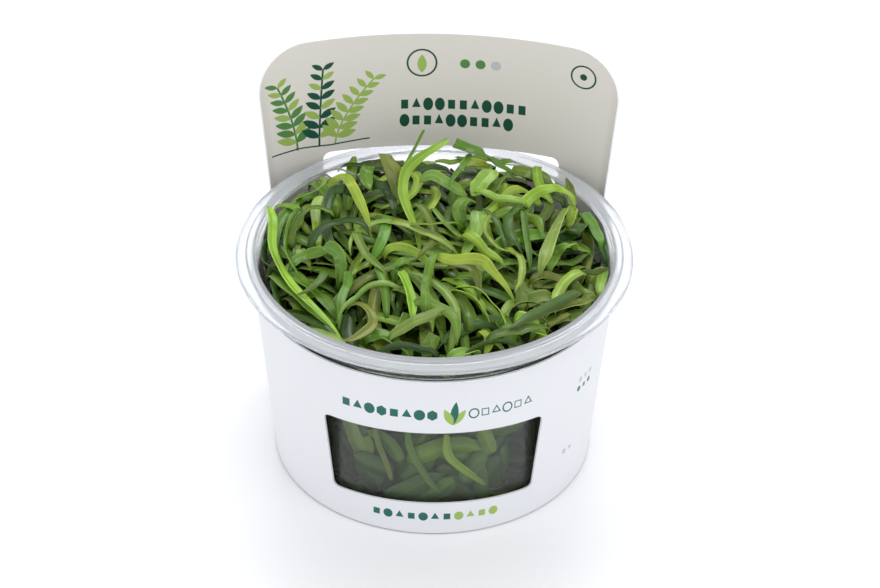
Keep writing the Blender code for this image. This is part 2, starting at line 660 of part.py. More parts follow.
def add_window_leaves(group, looks):
    """The leaves seen through the window, pressed flat behind the cup's wall."""
    for name, (tone, width, path) in WINDOW_LEAVES.items():
        places = [Vector((azimuth, height, 0)) for azimuth, height in path]
        rows = []
        for step in range(LEAF_ROWS + 1):
            share = step / LEAF_ROWS
            here = spline_point(places, share)
            reach = cup_inner_radius(here.y) - HEAP_GAP / 2
            ahead = spline_point(places, min(1, share + 0.02)) - spline_point(places, max(0, share - 0.02))
            arc_run = math.radians(ahead.x) * reach
            length = math.hypot(arc_run, ahead.y)
            half = half_width(width, share)
            row = []
            for side in (-1, 0, 1):
                azimuth = math.radians(here.x) - side * half * ahead.y / length / reach
                height = here.y + side * half * arc_run / length
                radius = cup_inner_radius(height) - HEAP_GAP / 2
                row.append(Vector((radius * math.sin(azimuth), -radius * math.cos(azimuth), height)))
            rows.append(row)
        add_leaf("leaf_" + name, rows, looks[tone], group)


def main():
    clear_scene()
    group = collection("stargrass_cup")
    cutters = collection("cutters", rendered=False)
    looks = {}
    for tone, (colour, roughness) in TONES.items():
        looks[tone] = finish_material("leaf_" + tone, colour, roughness)
    add_cup(group)
    add_sleeve(group, cutters)
    add_packed_leaves(group)
    add_top_leaves(group, looks)
    add_window_leaves(group, looks)


if __name__ == "__main__":
    main()
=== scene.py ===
"""Stargrass in a tissue culture cup: the finish of the cup, the card sleeve and every leaf.

Lengths are millimetres until a mesh is made, and metres from there on. The middle of the cup's base is
the origin, +Z is up, and the sleeve's window looks along -Y.
"""

import math

import bmesh
import bpy
import numpy as np
from mathutils import Matrix, Vector
from mathutils.geometry import delaunay_2d_cdt


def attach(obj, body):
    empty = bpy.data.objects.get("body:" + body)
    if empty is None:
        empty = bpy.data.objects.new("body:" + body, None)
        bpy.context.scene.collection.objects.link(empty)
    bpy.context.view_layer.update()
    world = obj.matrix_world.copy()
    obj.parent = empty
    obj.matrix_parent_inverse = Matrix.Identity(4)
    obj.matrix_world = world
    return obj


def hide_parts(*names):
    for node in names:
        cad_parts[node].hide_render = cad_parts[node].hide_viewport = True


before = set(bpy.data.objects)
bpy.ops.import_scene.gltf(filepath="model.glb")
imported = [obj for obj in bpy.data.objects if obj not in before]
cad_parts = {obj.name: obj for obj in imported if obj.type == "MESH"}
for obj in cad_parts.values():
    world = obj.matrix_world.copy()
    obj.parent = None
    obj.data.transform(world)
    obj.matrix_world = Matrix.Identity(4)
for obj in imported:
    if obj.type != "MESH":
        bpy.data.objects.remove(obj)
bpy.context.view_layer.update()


# The camera stands in front of the cup, a little to its right, and looks down at it. Its place was worked
# out from the rim's and the base's ellipses in the photograph, and the leaves below are placed through it.

PHOTO_FOCAL_PX = 3500.0
PHOTO_WIDE_PX = 880
PHOTO_MIDDLE_PX = (440.0, 294.0)
PHOTO_DISTANCE = 886.9
PHOTO_AIM = Vector((1.5, 0.0, 45.16))
PHOTO_YAW = math.radians(0.8)
PHOTO_PITCH = math.radians(36.11)
PHOTO_ROLL = math.radians(0.76)
SENSOR = 36.0
MM = 0.001

level_part = math.cos(PHOTO_PITCH)
camera_back = Vector((
    math.sin(PHOTO_YAW) * level_part,
    -math.cos(PHOTO_YAW) * level_part,
    math.sin(PHOTO_PITCH),
))
level_right = Vector((math.cos(PHOTO_YAW), math.sin(PHOTO_YAW), 0))
level_up = camera_back.cross(level_right)
camera_right = level_right * math.cos(PHOTO_ROLL) + level_up * math.sin(PHOTO_ROLL)
camera_up = level_up * math.cos(PHOTO_ROLL) - level_right * math.sin(PHOTO_ROLL)
camera_place = PHOTO_AIM + camera_back * PHOTO_DISTANCE

lens = bpy.data.cameras.new("camera")
lens.sensor_width = SENSOR
lens.lens = PHOTO_FOCAL_PX / PHOTO_WIDE_PX * SENSOR
lens.clip_end = 20
camera = bpy.data.objects.new("camera", lens)
turned = Matrix((camera_right, camera_up, camera_back)).transposed().to_4x4()
camera.matrix_world = Matrix.Translation(camera_place * MM) @ turned
bpy.context.scene.collection.objects.link(camera)
bpy.context.scene.camera = camera


def photo_ray(right_px, down_px):
    """The direction in which the camera sees this pixel of the photograph."""
    across = (right_px - PHOTO_MIDDLE_PX[0]) / PHOTO_FOCAL_PX
    upward = (PHOTO_MIDDLE_PX[1] - down_px) / PHOTO_FOCAL_PX
    return camera_right * across + camera_up * upward - camera_back


# The cup is one thin injection-moulded piece of clear, faintly milky plastic. Its wall tapers to a flat
# base, and its mouth has a raised bead inside a flat flange whose edge turns down.

CUP_HEIGHT = 58.6
CUP_WALL = 0.8
CUP_FLOOR = 1.0
MOUTH_RADIUS = 44.8
DRAFT_SLOPE = 0.0981
SHOULDER_TOP = 51.5
SHOULDER_LOW = 49.0
BASE_INNER_RADIUS = 39.05
LOWER_SLOPE = 0.025
SHOULDER_DROP = 0.5
SHOULDER_ROUND = 0.9
FLANGE_RADIUS = 50.0
FLANGE_STEP_RADIUS = 47.5
BEAD_HEIGHT = 0.6
LIP_DEPTH = 1.3
BASE_CORNER = 1.4
CUP_STEPS = 144
PLASTIC_IOR = 1.38


def cup_inner_radius(height):
    """The wall flares above its shoulder, and stands nearly upright below it, clear of the sleeve."""
    if height >= SHOULDER_TOP:
        return MOUTH_RADIUS - (CUP_HEIGHT - height) * DRAFT_SLOPE
    if height <= SHOULDER_LOW:
        return BASE_INNER_RADIUS + height * LOWER_SLOPE
    low = cup_inner_radius(SHOULDER_LOW)
    up_shoulder = (height - SHOULDER_LOW) / (SHOULDER_TOP - SHOULDER_LOW)
    return low + (cup_inner_radius(SHOULDER_TOP) - low) * up_shoulder


def rounded_wall(height):
    """The wall's inner radius with the corners of its shoulder eased."""
    low = cup_inner_radius(height - SHOULDER_ROUND)
    return (low + cup_inner_radius(height) + cup_inner_radius(height + SHOULDER_ROUND)) / 3


def arc(middle_x, middle_z, radius, start, end, steps):
    """Points of an arc, from start to end in degrees."""
    points = []
    for step in range(steps + 1):
        angle = math.radians(start + (end - start) * step / steps)
        points.append((middle_x + radius * math.cos(angle), middle_z + radius * math.sin(angle)))
    return points


def cup_profile():
    """The cup's cut wall: from the inner floor up, over the rim, and down to the middle of the base."""
    inner_corner = cup_inner_radius(CUP_FLOOR + BASE_CORNER) - BASE_CORNER
    outer_corner = cup_inner_radius(BASE_CORNER) + CUP_WALL - BASE_CORNER
    bead_top = CUP_HEIGHT + BEAD_HEIGHT
    under = CUP_HEIGHT - CUP_WALL
    wall_heights = [12.0, 30.0, 44.0] + [46.5 + step * 0.5 for step in range(15)] + [55.5]
    profile = [(0, CUP_FLOOR), (inner_corner * 0.5, CUP_FLOOR)]
    profile += arc(inner_corner, CUP_FLOOR + BASE_CORNER, BASE_CORNER, -90, -6, 5)
    profile += [(rounded_wall(height), height) for height in wall_heights]
    profile.append((cup_inner_radius(CUP_HEIGHT - 0.5), CUP_HEIGHT - 0.5))
    profile += arc(MOUTH_RADIUS + BEAD_HEIGHT, bead_top - BEAD_HEIGHT, BEAD_HEIGHT, 174, 90, 4)
    profile += arc(FLANGE_STEP_RADIUS - 0.6, bead_top - 0.3, 0.3, 90, 20, 3)
    profile += [(FLANGE_STEP_RADIUS, CUP_HEIGHT), (FLANGE_RADIUS - 0.6, CUP_HEIGHT)]
    profile += arc(FLANGE_RADIUS - 0.5, CUP_HEIGHT - 0.5, 0.5, 75, 0, 4)
    profile += arc(FLANGE_RADIUS - 0.3, CUP_HEIGHT - LIP_DEPTH + 0.3, 0.3, 0, -180, 4)
    profile += arc(FLANGE_RADIUS - CUP_WALL - 0.2, under - 0.2, 0.2, 0, 90, 2)
    profile += arc(cup_inner_radius(under) + CUP_WALL + 0.6, under - 0.6, 0.6, 90, 174, 4)
    profile += [
        (rounded_wall(height + SHOULDER_DROP) + CUP_WALL, height) for height in reversed(wall_heights)]
    profile += arc(outer_corner, BASE_CORNER, BASE_CORNER, -6, -90, 5)
    profile += [(outer_corner * 0.5, 0), (0, 0)]
    return profile


def material(name):
    """A new material, its node tree and its shader."""
    made = bpy.data.materials.new(name)
    made.use_nodes = True
    return made, made.node_tree, made.node_tree.nodes["Principled BSDF"]


def fill_inputs(tree, node, inputs):
    """Give a node's inputs, by number or name, their links from outputs or their constants."""
    for place, source in inputs.items():
        if isinstance(source, bpy.types.NodeSocket):
            tree.links.new(source, node.inputs[place])
        else:
            node.inputs[place].default_value = source


def add_node(tree, kind, inputs, out=0, **settings):
    """One output of a new node of this kind."""
    node = tree.nodes.new("ShaderNode" + kind)
    for name, value in settings.items():
        setattr(node, name, value)
    fill_inputs(tree, node, inputs)
    return node.outputs[out]


def object_place(tree):
    """Places on the piece itself, for a pattern that stays on it."""
    return add_node(tree, "TexCoord", {}, "Object")


def noise(tree, place, scale, detail):
    """Cloudy noise between 0 and 1."""
    return add_node(tree, "TexNoise", {0: place, "Scale": scale, "Detail": detail})


def ranged(tree, value, from_min, from_max, to_min, to_max, kind="LINEAR"):
    """The value, brought from one range to another and kept inside it."""
    stops = (value, from_min, from_max, to_min, to_max)
    return add_node(tree, "MapRange", dict(enumerate(stops)), interpolation_type=kind)


def mixed(tree, part, first, second):
    """A colour between two, this part of it being the second."""
    return add_node(tree, "Mix", {0: part, 6: first, 7: second}, 2, data_type="RGBA")


def bump(tree, height, strength, depth):
    """The surface's normal, tilted by a relief this deep in metres."""
    return add_node(tree, "Bump", {"Height": height, "Strength": strength, "Distance": depth})


def plastic_look(name, colour, clear, roughness, shine):
    """Moulded plastic with faint flow marks that unsettle its shine."""
    made, tree, shader = material(name)
    flow = noise(tree, object_place(tree), 35.0, 1.0)
    fill_inputs(tree, shader, {
        "Base Color": colour,
        "Transmission Weight": clear,
        "IOR": PLASTIC_IOR,
        "Specular Tint": (shine, shine, shine, 1),
        "Roughness": ranged(tree, flow, 0, 1, roughness * 0.8, roughness * 1.3),
        "Normal": bump(tree, flow, 0.03, 0.0002),
    })
    return made


def place_object(name, mesh_data, looks, sharp=None):
    """An object whose place is in its mesh, from a bmesh in millimetres."""
    bmesh.ops.scale(mesh_data, vec=(MM, MM, MM), verts=mesh_data.verts)
    mesh = bpy.data.meshes.new(name)
    mesh_data.to_mesh(mesh)
    mesh_data.free()
    for look in looks:
        mesh.materials.append(look)
    mesh.shade_smooth()
    if sharp is not None:
        mesh.set_sharp_from_angle(angle=math.radians(sharp))
    made = bpy.data.objects.new(name, mesh)
    bpy.context.scene.collection.objects.link(made)
    return made


cup_bm = bmesh.new()
profile_verts = [cup_bm.verts.new((x, 0, z)) for x, z in cup_profile()]
profile_edges = [cup_bm.edges.new(pair) for pair in zip(profile_verts, profile_verts[1:])]
bmesh.ops.spin(
    cup_bm, geom=profile_verts + profile_edges, axis=(0, 0, 1), cent=(0, 0, 0),
    steps=CUP_STEPS, angle=math.tau, use_merge=True)
bmesh.ops.remove_doubles(cup_bm, verts=cup_bm.verts, dist=0.001)
bmesh.ops.recalc_face_normals(cup_bm, faces=cup_bm.faces)
for face in cup_bm.faces:
    face.material_index = int(face.calc_center_median().z > CUP_HEIGHT - LIP_DEPTH - 0.1)
cup_looks = [
    plastic_look("cup_wall_plastic", (0.95, 0.985, 0.94, 1), 0.975, 0.09, 0.4),
    plastic_look("cup_flange_plastic", (0.94, 0.965, 1.0, 1), 0.7, 0.16, 0.6),
]
cup = place_object("cup_clear", cup_bm, cup_looks, 50)
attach(cup, "root")
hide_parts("cup")


# The sleeve is one blank of white coated card, printed flat, cut, wrapped round the cup and glued. It is a
# cone round the front and bows flatter behind, where it stands up as a header over a slot for the flange.

CARD = 0.5
SLEEVE_RADIUS = 45.2
SLEEVE_BOTTOM = 0.4
BAND_TOP = 52.0
HEADER_TOP = 91.9
CONE_DEPTH = 466.0
CREASE_X = 43.9
CREASE_Y = 35.0
CREASE_RADIUS = 5.0
BACK_BOW_RADIUS = 98.0
BACK_MIDDLE_Y = 45.45
HEADER_HALF = 43.2
HEADER_CORNER = 11.5
WINDOW_BOTTOM = 10.8
WINDOW_TOP = 35.0
WINDOW_HALF_TOP = 27.1
WINDOW_HALF_BOTTOM = 24.8
WINDOW_CORNER = 1.5
WINDOW_SAG = 1.2
SLOT_HALF = 30.7
SLOT_TOP = 59.55
SLOT_CORNER = 2.0
OPENINGS_SHIFT = 0.7
FOLD_LINE_STEP = 1.8
SPRAY_FOOT = 61.5


def cone_scale(height):
    """How much larger the sleeve is at a height than at the band's top edge."""
    return (height - BAND_TOP + CONE_DEPTH) / CONE_DEPTH


crease_reach = math.hypot(CREASE_X, CREASE_Y)
leave_angle = math.atan2(CREASE_Y, CREASE_X) - math.acos(SLEEVE_RADIUS / crease_reach)
leave_point = Vector((math.cos(leave_angle), math.sin(leave_angle))) * SLEEVE_RADIUS
side_way = (Vector((CREASE_X, CREASE_Y)) - leave_point).normalized()
bow_middle = Vector((0, BACK_MIDDLE_Y - BACK_BOW_RADIUS))
bow_angle = math.asin(CREASE_X / BACK_BOW_RADIUS)
bow_way = Vector((-math.cos(bow_angle), math.sin(bow_angle)))
bow_corner = bow_middle + BACK_BOW_RADIUS * Vector((math.sin(bow_angle), math.cos(bow_angle)))
crease_turn = side_way.angle(bow_way)
crease_start = bow_corner - side_way * CREASE_RADIUS * math.tan(crease_turn / 2)
crease_middle = crease_start + Vector((-side_way.y, side_way.x)) * CREASE_RADIUS
crease_first = math.atan2(crease_start.y - crease_middle.y, crease_start.x - crease_middle.x)
crease_end = crease_middle + CREASE_RADIUS * Vector(
    (math.cos(crease_first + crease_turn), math.sin(crease_first + crease_turn)))
front_run = SLEEVE_RADIUS * (leave_angle + math.pi / 2)
side_run = front_run + (crease_start - leave_point).length
crease_run = side_run + CREASE_RADIUS * crease_turn
half_run = crease_run + BACK_BOW_RADIUS * math.asin(crease_end.x / BACK_BOW_RADIUS)


def section_point(along):
    """The card's inner face and its outward way, this far round from the middle of the front."""
    if along < 0 or along > half_run:
        point, way = section_point(-along if along < 0 else 2 * half_run - along)
        return Vector((-point.x, point.y)), Vector((-way.x, way.y))
    if along <= front_run:
        angle = along / SLEEVE_RADIUS - math.pi / 2
        way = Vector((math.cos(angle), math.sin(angle)))
        return way * SLEEVE_RADIUS, way
    if along <= side_run:
        return leave_point + side_way * (along - front_run), Vector((side_way.y, -side_way.x))
    if along <= crease_run:
        angle = crease_first + (along - side_run) / CREASE_RADIUS
        way = Vector((math.cos(angle), math.sin(angle)))
        return crease_middle + way * CREASE_RADIUS, way
    angle = (half_run - along) / BACK_BOW_RADIUS
    way = Vector((math.sin(angle), math.cos(angle)))
    return bow_middle + way * BACK_BOW_RADIUS, way


def panel_along(x, height):
    """How far round the card a place on the back panel is, from its x there."""
    wanted = abs(x) / cone_scale(height)
    low = front_run
    high = half_run
    for _ in range(40):
        middle = (low + high) / 2
        if section_point(middle)[0].x > wanted:
            low = middle
        else:
            high = middle
    return low if x > 0 else 2 * half_run - low


def rounded_outline(corners, radius, steps=5):
    """Corner points (x, z), each rounded by its own radius where that isn't 0."""
    outline = []
    count = len(corners)
    for index, corner in enumerate(corners):
        point = Vector(corner)
        if radius[index] == 0:
            outline.append(tuple(point))
            continue
        before = (Vector(corners[index - 1]) - point).normalized()
        after = (Vector(corners[(index + 1) % count]) - point).normalized()
        half = before.angle(after) / 2
        middle = point + (before + after).normalized() * radius[index] / math.sin(half)
        first = point + before * radius[index] / math.tan(half) - middle
        last = point + after * radius[index] / math.tan(half) - middle
        for step in range(steps + 1):
            turned = first.slerp(last, step / steps)
            outline.append(tuple(middle + turned.normalized() * radius[index]))
    return outline


def blank_outline():
    """The blank's outline as (along, height): the band, and the header standing on its back."""
    low_half = HEADER_HALF * cone_scale(BAND_TOP)
    high_half = HEADER_HALF * cone_scale(HEADER_TOP)
    corners = [
        (low_half, BAND_TOP), (high_half, HEADER_TOP), (-high_half, HEADER_TOP), (-low_half, BAND_TOP)]
    header = rounded_outline(corners, [0, HEADER_CORNER, HEADER_CORNER, 0], 12)
    outline = [(seam_along, SLEEVE_BOTTOM), (seam_along + 2 * half_run, SLEEVE_BOTTOM)]
    outline.append((seam_along + 2 * half_run, BAND_TOP))
    outline += [(panel_along(x, z), z) for x, z in reversed(header)]
    outline.append((seam_along, BAND_TOP))
    return outline


def window_outline():
    """The window, its level edges sagging a little towards its sides."""
    low = [(WINDOW_HALF_BOTTOM * step / 4, WINDOW_BOTTOM) for step in range(-4, 5)]
    high = [(WINDOW_HALF_TOP * step / 4, WINDOW_TOP) for step in range(4, -5, -1)]
    radii = ([WINDOW_CORNER] + [0] * 7 + [WINDOW_CORNER]) * 2
    outline = []
    for x, z in rounded_outline(low + high, radii):
        height = z - WINDOW_SAG * (x / WINDOW_HALF_TOP) ** 2
        reach = (SLEEVE_RADIUS + CARD) * cone_scale(height)
        outline.append((SLEEVE_RADIUS * math.asin((x + OPENINGS_SHIFT) / reach), height))
    return outline


def slot_outline():
    """The slot behind, through which the cup's flange stands out."""
    left = OPENINGS_SHIFT - SLOT_HALF
    right = OPENINGS_SHIFT + SLOT_HALF
    corners = [(left, BAND_TOP), (right, BAND_TOP), (right, SLOT_TOP), (left, SLOT_TOP)]
    return [(panel_along(x, z), z) for x, z in rounded_outline(corners, [SLOT_CORNER] * 4)]


def leaf_shape(foot, angle, length, width):
    """An almond leaf from its foot, pointing at this angle in degrees."""
    outline = []
    way = Vector((math.cos(math.radians(angle)), math.sin(math.radians(angle))))
    across = Vector((-way.y, way.x))
    for side in (1, -1):
        for step in range(9):
            share = step / 9 if side == 1 else 1 - step / 9
            swell = math.sin(math.pi * share) ** 0.8 * (1.15 - 0.3 * share)
            outline.append(tuple(Vector(foot) + way * length * share + across * side * width / 2 * swell))
    return outline


def strip_shape(path, wide):
    """A line of this width along a path."""
    left = []
    right = []
    for index, point in enumerate(path):
        before = Vector(path[max(index - 1, 0)])
        after = Vector(path[min(index + 1, len(path) - 1)])
        way = (after - before).normalized()
        across = Vector((-way.y, way.x)) * wide / 2
        left.append(tuple(Vector(point) + across))
        right.append(tuple(Vector(point) - across))
    return left + right[::-1]


def round_shape(middle, radius, sides=20, turn=0.0, squash=1.0):
    """A circle, or a polygon with few sides."""
    outline = []
    for step in range(sides):
        angle = math.tau * step / sides + math.radians(turn)
        x = middle[0] + radius * math.cos(angle) * squash
        outline.append((x, middle[1] + radius * math.sin(angle)))
    return outline


def upright(sides):
    """How far a polygon is turned so that it stands on a side, in degrees."""
    return 45 if sides == 4 else 90


PLAIN, DEEP_GREEN, LEAF_GREEN, LIME_GREEN, TEAL, PALE_GREY, RAW_SIDE_AND_SHADE = range(7)


def header_print():
    """The header's print: a spray of round leaves, small signs, and two rows of plain beads."""
    shapes = []
    for stem, (foot_x, tip_x, tip_z, ink) in enumerate([
            (-36.5, -41.5, 80.5, LEAF_GREEN),
            (-31.0, -30.0, 83.5, DEEP_GREEN),
            (-27.0, -17.0, 79.5, LIME_GREEN)]):
        path = [
            (foot_x + (tip_x - foot_x) * (step / 8)**1.6, SPRAY_FOOT + (tip_z - SPRAY_FOOT) * (step / 8))
            for step in range(9)]
        shapes.append((ink, strip_shape(path, 0.5)))
        for step in range(1, 9):
            x, z = path[step]
            lean = 16 * (stem - 1)
            size = 5.6 - 0.28 * step
            for side in (-1, 1):
                shade = LIME_GREEN if (step + stem + side) % 3 == 0 else ink
                shapes.append((shade, leaf_shape((x, z), 90 - lean - side * 58, size, size * 0.42)))
    shapes.append((DEEP_GREEN, strip_shape([(-43, 61.2), (-36, 62.0), (-28, 61.6), (-18, 62.4)], 0.4)))
    shapes.append((DEEP_GREEN, round_shape((-4.6, 83.6), 4.0, 36)))
    shapes.append((RAW_SIDE_AND_SHADE, round_shape((-4.6, 83.6), 3.5, 36)))
    shapes.append((LIME_GREEN, leaf_shape((-4.6, 80.8), 90, 5.2, 2.4)))
    for index in range(3):
        ink = LEAF_GREEN if index < 2 else PALE_GREY
        shapes.append((ink, round_shape((6.5 + index * 4.0, 83.6), 1.3, 24)))
    for row, (height, count, wide) in enumerate([(71.7, 11, 3.05), (67.0, 10, 3.0)]):
        for index in range(count):
            middle = (-9.0 + index * wide, height)
            sides = (4, 24, 3, 4, 24)[(index * 2 + row) % 5]
            shapes.append((DEEP_GREEN, round_shape(middle, 1.85, sides, upright(sides), 0.7)))
    shapes.append((DEEP_GREEN, round_shape((37.0, 84.3), 3.3, 40)))
    shapes.append((RAW_SIDE_AND_SHADE, round_shape((37.0, 84.3), 2.85, 40)))
    shapes.append((DEEP_GREEN, round_shape((37.0, 84.3), 0.9, 20)))
    return [(ink, [(panel_along(x, z), z) for x, z in outline]) for ink, outline in shapes]


def band_print():
    """The band's print: rows of small plain figures over and under the window."""
    shapes = []
    for index in range(8):
        sides = (4, 3, 24, 6)[index % 4]
        middle = (-21.2 + index * 3.12, 41.0)
        shapes.append((TEAL, round_shape(middle, 1.75, sides, upright(sides), 0.8)))
    for index in range(3):
        ink = TEAL if index == 1 else LIME_GREEN
        shapes.append((ink, leaf_shape((5.6, 37.6), 84 + (index - 1) * 27, 7.8 - abs(index - 1) * 2, 2.0)))
    for index in range(6):
        middle = (10.8 + index * 2.85, 41.0)
        sides = (24, 4, 3)[index % 3]
        shapes.append((TEAL, round_shape(middle, 1.7, sides, upright(sides), 0.8)))
        shapes.append((PLAIN, round_shape(middle, 1.25 if sides != 3 else 1.0, sides, upright(sides), 0.8)))
    for index in range(11):
        ink = TEAL if index < 7 else LIME_GREEN
        sides = (4, 24, 3)[index % 3]
        middle = (-13.2 + index * 2.95, 6.2)
        shapes.append((ink, round_shape(middle, 1.45, sides, upright(sides), 0.82)))
    for row, (start, height) in enumerate([(43.5, 37.5), (43.0, 34.6), (38.5, 15.5)]):
        for index in range(3 - row // 2):
            ink = TEAL if row == 1 else PALE_GREY
            middle = (start + index * 2.4, height)
            shapes.append((ink, round_shape(middle, 0.9, 4 if index % 2 else 20, 45, 0.8)))
    return [(ink, [(x / cone_scale(z), z) for x, z in outline]) for ink, outline in shapes]


def cut_blank(outline, holes, prints):
    """The flat blank as triangles (along, height) with the ink of each, cut along every outline."""
    points = []
    edges = []
    faces = []
    for shape in [outline] + holes + [shape for _, shape in prints]:
        start = len(points)
        doubled = sum(a[0] * b[1] - b[0] * a[1] for a, b in zip(shape, shape[1:] + shape[:1]))
        points += [Vector(point) for point in (shape if doubled > 0 else shape[::-1])]
        faces.append(list(range(start, len(points))))
    left = min(x for x, _ in outline)
    right = max(x for x, _ in outline)
    lines = math.ceil((right - left) / FOLD_LINE_STEP)
    stops = [left + (right - left) * index / lines for index in range(1, lines)]
    for corner in (side_run, 2 * half_run - crease_run):
        stops += [corner + (crease_run - side_run) * index / 7 for index in range(8)]
    for along in stops:
        start = len(points)
        points += [Vector((along, SLEEVE_BOTTOM)), Vector((along, HEADER_TOP))]
        edges.append((start, start + 1))
    flat, _, cells, _, _, owners = delaunay_2d_cdt(points, edges, faces, 1, 0.004)
    kept = []
    for cell, owner in zip(cells, owners):
        if 0 in owner and not any(index in owner for index in range(1, len(holes) + 1)):
            top = max(owner)
            ink = prints[top - len(holes) - 1][0] if top > len(holes) else PLAIN
            kept.append((cell, ink))
    return flat, kept


def ink_look(name, colour, rough, inked):
    """Coated card: fine tooth, faint cloudiness, and ink that lies smoother than the bare coating."""
    made, tree, shader = material(name)
    place = object_place(tree)
    tooth = noise(tree, place, 2600.0, 2.0)
    deeper = [part * (0.86 if inked else 0.965) for part in colour[:3]] + [1]
    fill_inputs(tree, shader, {
        "Base Color": mixed(tree, noise(tree, place, 45.0, 4.0), colour, deeper),
        "Roughness": ranged(tree, tooth, 0, 1, rough - 0.06, rough + 0.08),
        "Specular IOR Level": 0.35,
        "Normal": bump(tree, tooth, 0.12, 0.00004),
    })
    return made


seam_along = -(front_run + side_run) / 2
header_shapes = header_print()
band_shapes = band_print()
blank, blank_cells = cut_blank(
    blank_outline(), [window_outline(), slot_outline()], header_shapes + band_shapes)
sleeve_bm = bmesh.new()
blank_verts = []
outward_ways = []
for along, height in blank:
    point, way = section_point(along)
    scale = cone_scale(height)
    blank_verts.append(sleeve_bm.verts.new((point.x * scale, point.y * scale, height)))
    outward_ways.append(Vector((way.x, way.y, -SLEEVE_RADIUS / CONE_DEPTH)).normalized())
for cell, ink in blank_cells:
    face = sleeve_bm.faces.new([blank_verts[index] for index in cell])
    face.material_index = ink
sleeve_bm.verts.index_update()
inner_of = dict(zip(blank_verts, outward_ways))
for vert in [vert for vert in sleeve_bm.verts if not vert.link_faces]:
    inner_of.pop(vert)
    sleeve_bm.verts.remove(vert)
bmesh.ops.recalc_face_normals(sleeve_bm, faces=sleeve_bm.faces)
inner_faces = list(sleeve_bm.faces)
grown = bmesh.ops.extrude_face_region(sleeve_bm, geom=inner_faces, use_keep_orig=True)
outer_verts = [item for item in grown["geom"] if isinstance(item, bmesh.types.BMVert)]
nearest = {tuple(round(part, 5) for part in vert.co): way for vert, way in inner_of.items()}
for vert in outer_verts:
    vert.co += nearest[tuple(round(part, 5) for part in vert.co)] * CARD
outer_faces = {item for item in grown["geom"] if isinstance(item, bmesh.types.BMFace)}
inner_faces = set(inner_faces)
# Inner faces take the card's inner side: its own warmer colour, and painted shade on the header's ground.
for face in sleeve_bm.faces:
    on_back = face.calc_center_median().y > CREASE_Y * 0.9
    if face in inner_faces:
        if not on_back or face.material_index == PLAIN:
            face.material_index = RAW_SIDE_AND_SHADE
    elif on_back or face not in outer_faces:
        face.material_index = PLAIN
bmesh.ops.remove_doubles(sleeve_bm, verts=sleeve_bm.verts, dist=0.002)
bmesh.ops.recalc_face_normals(sleeve_bm, faces=sleeve_bm.faces)
card_looks = [
    ink_look("card_white", (0.785, 0.797, 0.82, 1), 0.5, False),
    ink_look("ink_deep_green", (0.012, 0.085, 0.05, 1), 0.36, True),
    ink_look("ink_leaf_green", (0.10, 0.27, 0.07, 1), 0.36, True),
    ink_look("ink_lime_green", (0.36, 0.52, 0.12, 1), 0.36, True),
    ink_look("ink_teal", (0.008, 0.14, 0.105, 1), 0.36, True),
    ink_look("ink_pale_grey", (0.56, 0.58, 0.58, 1), 0.42, True),
    # Raw inner side of the card, warmer than the coating and also darker as painted shade.
    ink_look("card_inner_side_and_shade", (0.76, 0.727, 0.665, 1), 0.62, False),
]
sleeve = place_object("sleeve_card", sleeve_bm, card_looks, 40)
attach(sleeve, "root")
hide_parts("sleeve")


# The leaves are stargrass blades: soft, wet ribbons with parallel veins and a faint midrib, cut and packed
# loosely into the cup. Those that lie on top are placed one by one, from the lowest to the highest.

HEAP_EDGE = 54.2
HEAP_RISE = 8.2
HEAP_RADIUS = 43.0
BACK_RISE = 4.3
BACK_SPREAD = 10.0
DIP_X = 3.0
DIP_WIDE = 5.0
DIP_DEPTH = 6.0
LEAF_THICK = 0.4
BLADE_THICK = 0.2
LEAF_ROWS = 7
LEAF_TIP_SHARE = 0.38
LEAF_LEAST_HALF = 0.28
WALL_CLEAR = 0.65
LEAF_GAP = 0.36
LAYER_CELL = 0.5
FINE_STEP = 0.3
LAY_TRIES = 5
BLADE_ROWS = 34
BLADE_COLUMNS = 8
BLADE_TIP_SHARE = 0.3
BURIED_SHARE = 0.14
BURIED_DEPTH = 2.4
BURIED_UNDER = 2.5
VEINS = 12

LEAF_TINTS = {
    "lime": (0.275, 0.44, 0.032),
    "green": (0.104, 0.225, 0.013),
    "dark": (0.025, 0.072, 0.005),
    "olive": (0.17, 0.225, 0.028),
    "pale": (0.24, 0.38, 0.06),
}

